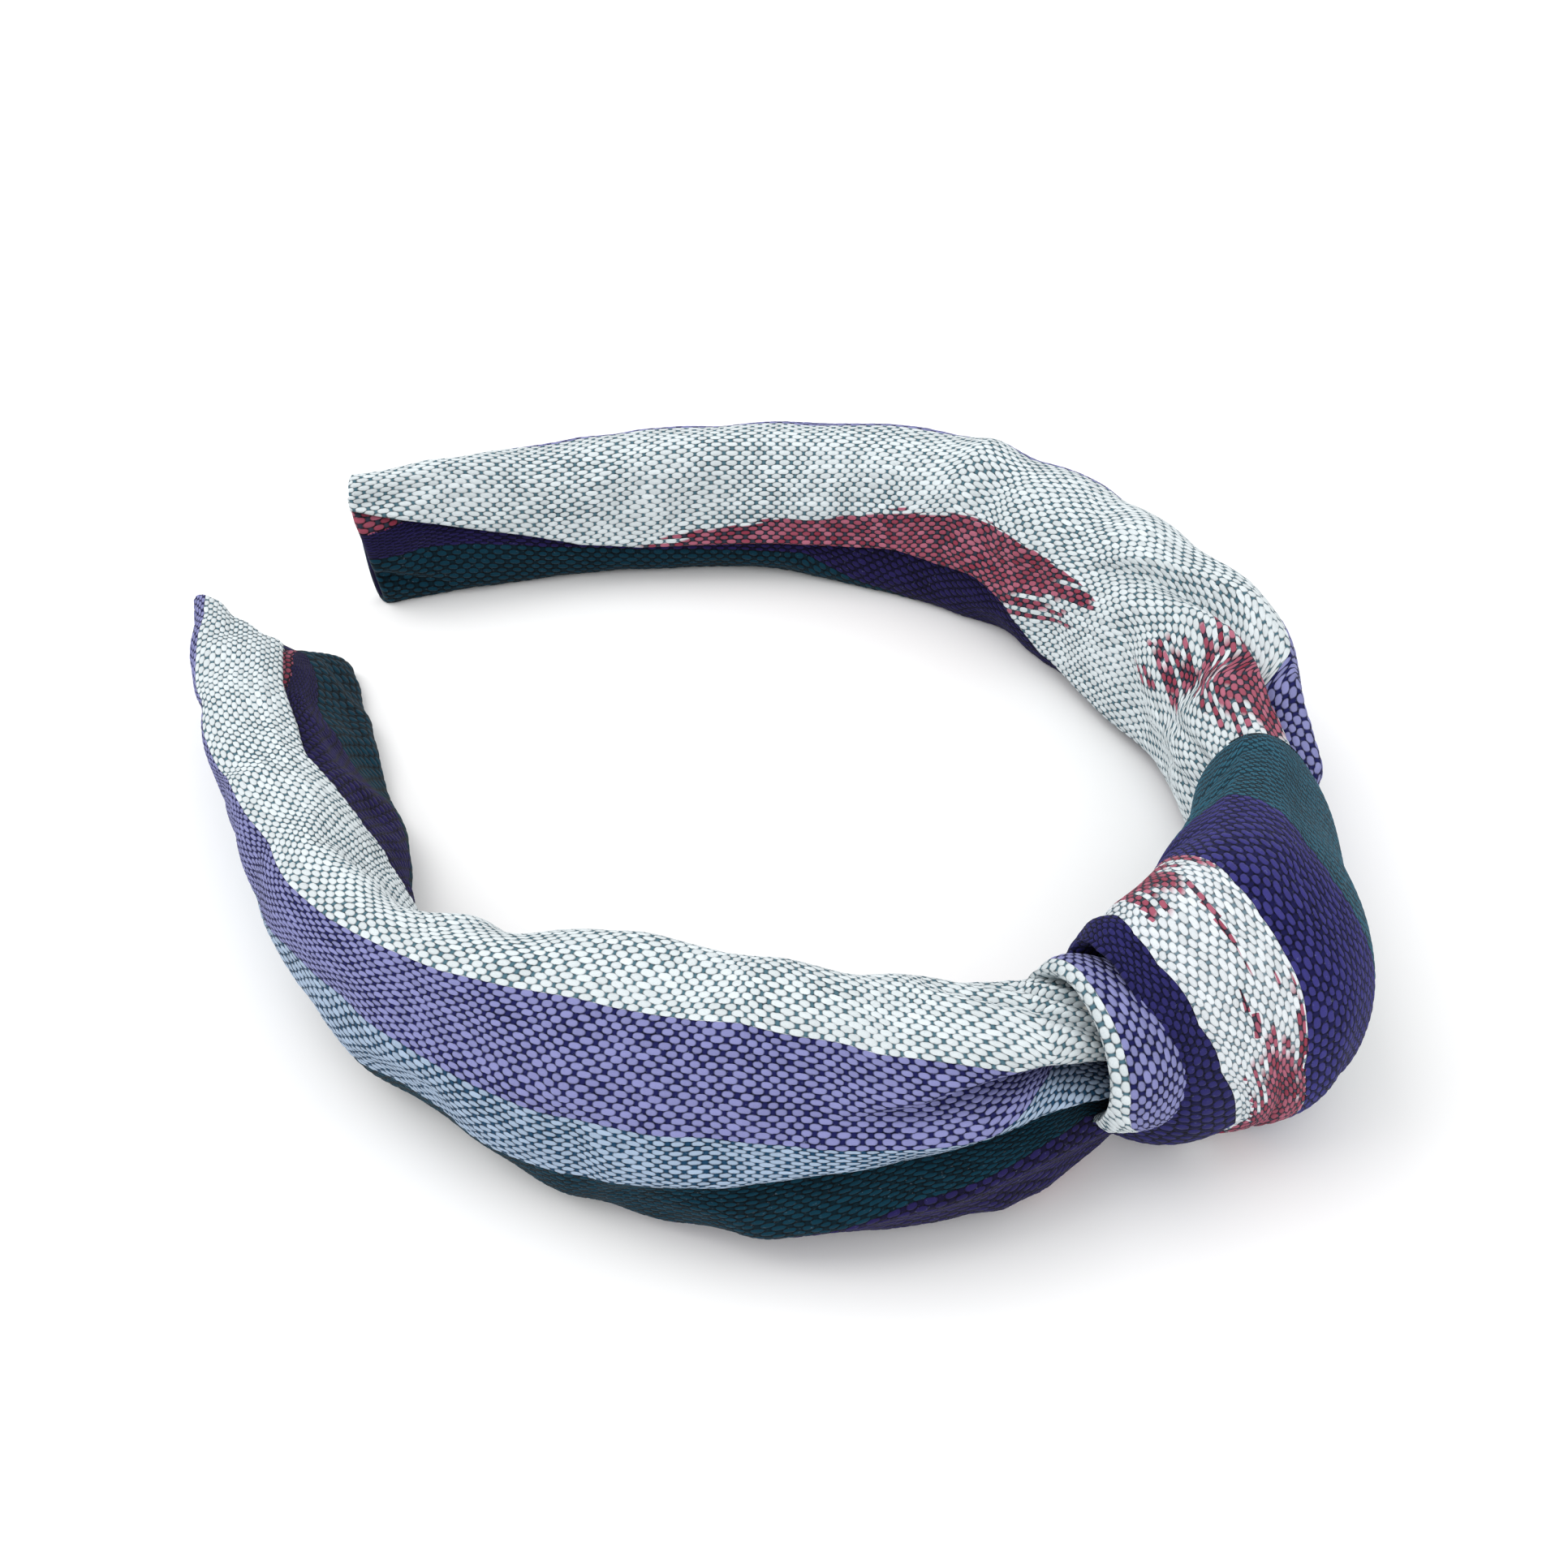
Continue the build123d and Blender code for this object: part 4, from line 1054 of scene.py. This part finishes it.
def make_sleeve(side):
    spec = SPECS[side]
    rows, cols = SLEEVE_GRID[side]
    points, cloth, dye = arm_grid(spec, rows, cols, 1)
    moved = settled(spec)
    body = resampled(moved[:SIM_ROWS, len(ROLL_UNDER):-len(GO_BEHIND)], rows, cols)
    points[:rows, len(ROLL_UNDER):-len(GO_BEHIND)] += body
    points[..., 2] = np.maximum(points[..., 2], LOWEST)
    obj = grid_mesh(side + "_cloth_sleeve", points, cloth, dye, False)
    obj.data.materials.append(COTTON)
    return obj


def make_padding(side):
    """The sponge inside a sleeve, just under its folds."""
    spec = SPECS[side]
    skin = dict(spec, last=spec["last"] - PAD_SHORT)
    points, cloth, dye = arm_grid(skin, *PAD_GRID, 0, within=PAD_WITHIN, first=PAD_FIRST)
    obj = grid_mesh(side + "_sponge_padding", points, cloth, dye, False)
    obj.data.materials.append(SPONGE)
    return obj


def make_allowance(side):
    """The turned-in edges of the long seam, behind the sleeve's inner face."""
    spec = dict(SPECS[side], last=SPECS[side]["last"] - ALLOWANCE_SHORT)
    (near, cloth, _), (far, _, _) = (
        arm_grid(spec, *ALLOWANCE_GRID, 0, within=within, first=ALLOWANCE_FIRST) for within in ALLOWANCE)
    last = near.shape[1] - len(GO_BEHIND)
    pick = slice(last - ALLOWANCE_COLS, last)
    points = np.hstack([near[:, pick], far[:, pick][:, ::-1]])
    cloth = np.hstack([cloth[:, pick], cloth[:, pick][:, ::-1]])
    obj = grid_mesh(side + "_turned_edges", points, cloth, np.full(points.shape[:2], UNDYED), False)
    obj.data.materials.append(LOOKS["seam_allowance"])
    return obj


def make_strip(node, name):
    """The springy strip of an arm, from its CAD node, ended short of the cloth that closes the tip."""
    shape = bmesh.new()
    shape.from_mesh(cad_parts[node].data)
    spots = np.array([v.co for v in shape.verts])
    plane = spots[(spots @ STRIP_TIP_WAY).argmax()] - STRIP_SHORT * MM * STRIP_TIP_WAY
    cut = bmesh.ops.bisect_plane(shape, geom=shape.verts[:] + shape.edges[:] + shape.faces[:],
                                 plane_co=plane, plane_no=STRIP_TIP_WAY, clear_outer=True)
    rim = [e for e in cut["geom_cut"] if isinstance(e, bmesh.types.BMEdge)]
    bmesh.ops.holes_fill(shape, edges=rim)
    mesh = bpy.data.meshes.new(name)
    shape.to_mesh(mesh)
    shape.free()
    mesh.materials.clear()
    mesh.materials.append(LOOKS["core"])
    return add_object(name, mesh)


def stand_for(nodes):
    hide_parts(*nodes)


def place_arm(side):
    for make, parts, slot, fill in ((make_allowance, ["_seam_allowance"], "dark_cotton", 0.9),
                                    (make_padding, ["_pad"], "sponge", 0.7),
                                    (make_sleeve, ["_sleeve", "_tip_fold", "_tip_thread"],
                                     "striped_cotton", 0.7)):
        piece = make(side)
        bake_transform(piece)
        stand_for([side + part for part in parts])


place_arm("left")
place_arm("right")

strip = make_strip("left_core", "left_springy_strip")
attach(strip, "left_arm")
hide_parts("left_core")

GATHERED = plain_cloth("gathered_cotton", (70, 62, 120), (28, 30, 70))
for name, grid, closes, look, node, slot, fill in (
        ("knot_wide_turn", knot_grid(300, 140, 1), True, KNOT_COTTON, "knot_wrap", "knot_cotton", 0.8),
        ("knot_narrow_turn", loop_grid(150, 36, 1), True, COTTON, "knot_under_loop", "pale_cotton", 0.5),
        ("knot_inner_gathers", gathered_grid(60, 90), False, GATHERED, "knot_gather",
         "gathered_cotton", 0.8)):
    piece = grid_mesh(name, *grid, closes)
    piece.data.materials.append(look)
    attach(piece, "crown")
    stand_for([node])

for node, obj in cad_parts.items():
    for word, mat in LOOKS.items():
        if node.endswith(word) and not obj.hide_render:
            obj.data.materials.clear()
            obj.data.materials.append(mat)

# ---- floor, light, camera -----------------------------------------------------------
floor_mesh = bpy.data.meshes.new("floor")
FLOOR_HALF = 3.0
corners = [(-1, -1), (1, -1), (1, 1), (-1, 1)]
floor_mesh.from_pydata([(a * FLOOR_HALF, b * FLOOR_HALF, 0) for a, b in corners], [], [(0, 1, 2, 3)])
floor = add_object("floor", floor_mesh)
paper = Graph("paper")
paper_spot = paper.value("ShaderNodeTexCoord", (), "Object")
paper_tone = paper.mix(paper.noise(paper_spot, 40.0, 4.0),
                       (0.945, 0.945, 0.945, 1), (0.955, 0.955, 0.955, 1))
floor_mesh.materials.append(paper.finish(paper_tone, 0.9))

world = bpy.data.worlds.new("studio")
bpy.context.scene.world = world
world.use_nodes = True
world.node_tree.nodes["Background"].inputs[0].default_value = (1, 1, 1, 1)
world.node_tree.nodes["Background"].inputs[1].default_value = 1.05


def area_light(name, place, target, size, power):
    data = bpy.data.lights.new(name, "AREA")
    data.shape, data.size, data.energy = "SQUARE", size, power
    obj = add_object(name, data)
    obj.location = place
    way = np.array(target) - np.array(place)
    yaw = math.atan2(way[1], way[0]) - math.pi / 2
    pitch = math.atan2(math.hypot(way[0], way[1]), -way[2])
    obj.rotation_euler = (pitch, 0, yaw)


area_light("key", (-0.25, 0.45, 0.8), (0, 0, 0.01), 0.7, 3.0)
area_light("fill", (-0.6, -0.5, 0.6), (0, 0, 0.01), 0.8, 1.2)

# the photograph's view
lens = bpy.data.cameras.new("view")
lens.lens, lens.sensor_width, lens.clip_start = 40.06, 36, 0.01
camera = add_object("view", lens)
camera.location = (-0.1501, -0.0894, 0.150)
camera.rotation_euler = (math.radians(50), 0, math.radians(-60))
bpy.context.scene.camera = camera
bpy.context.scene.view_settings.view_transform = "Standard"
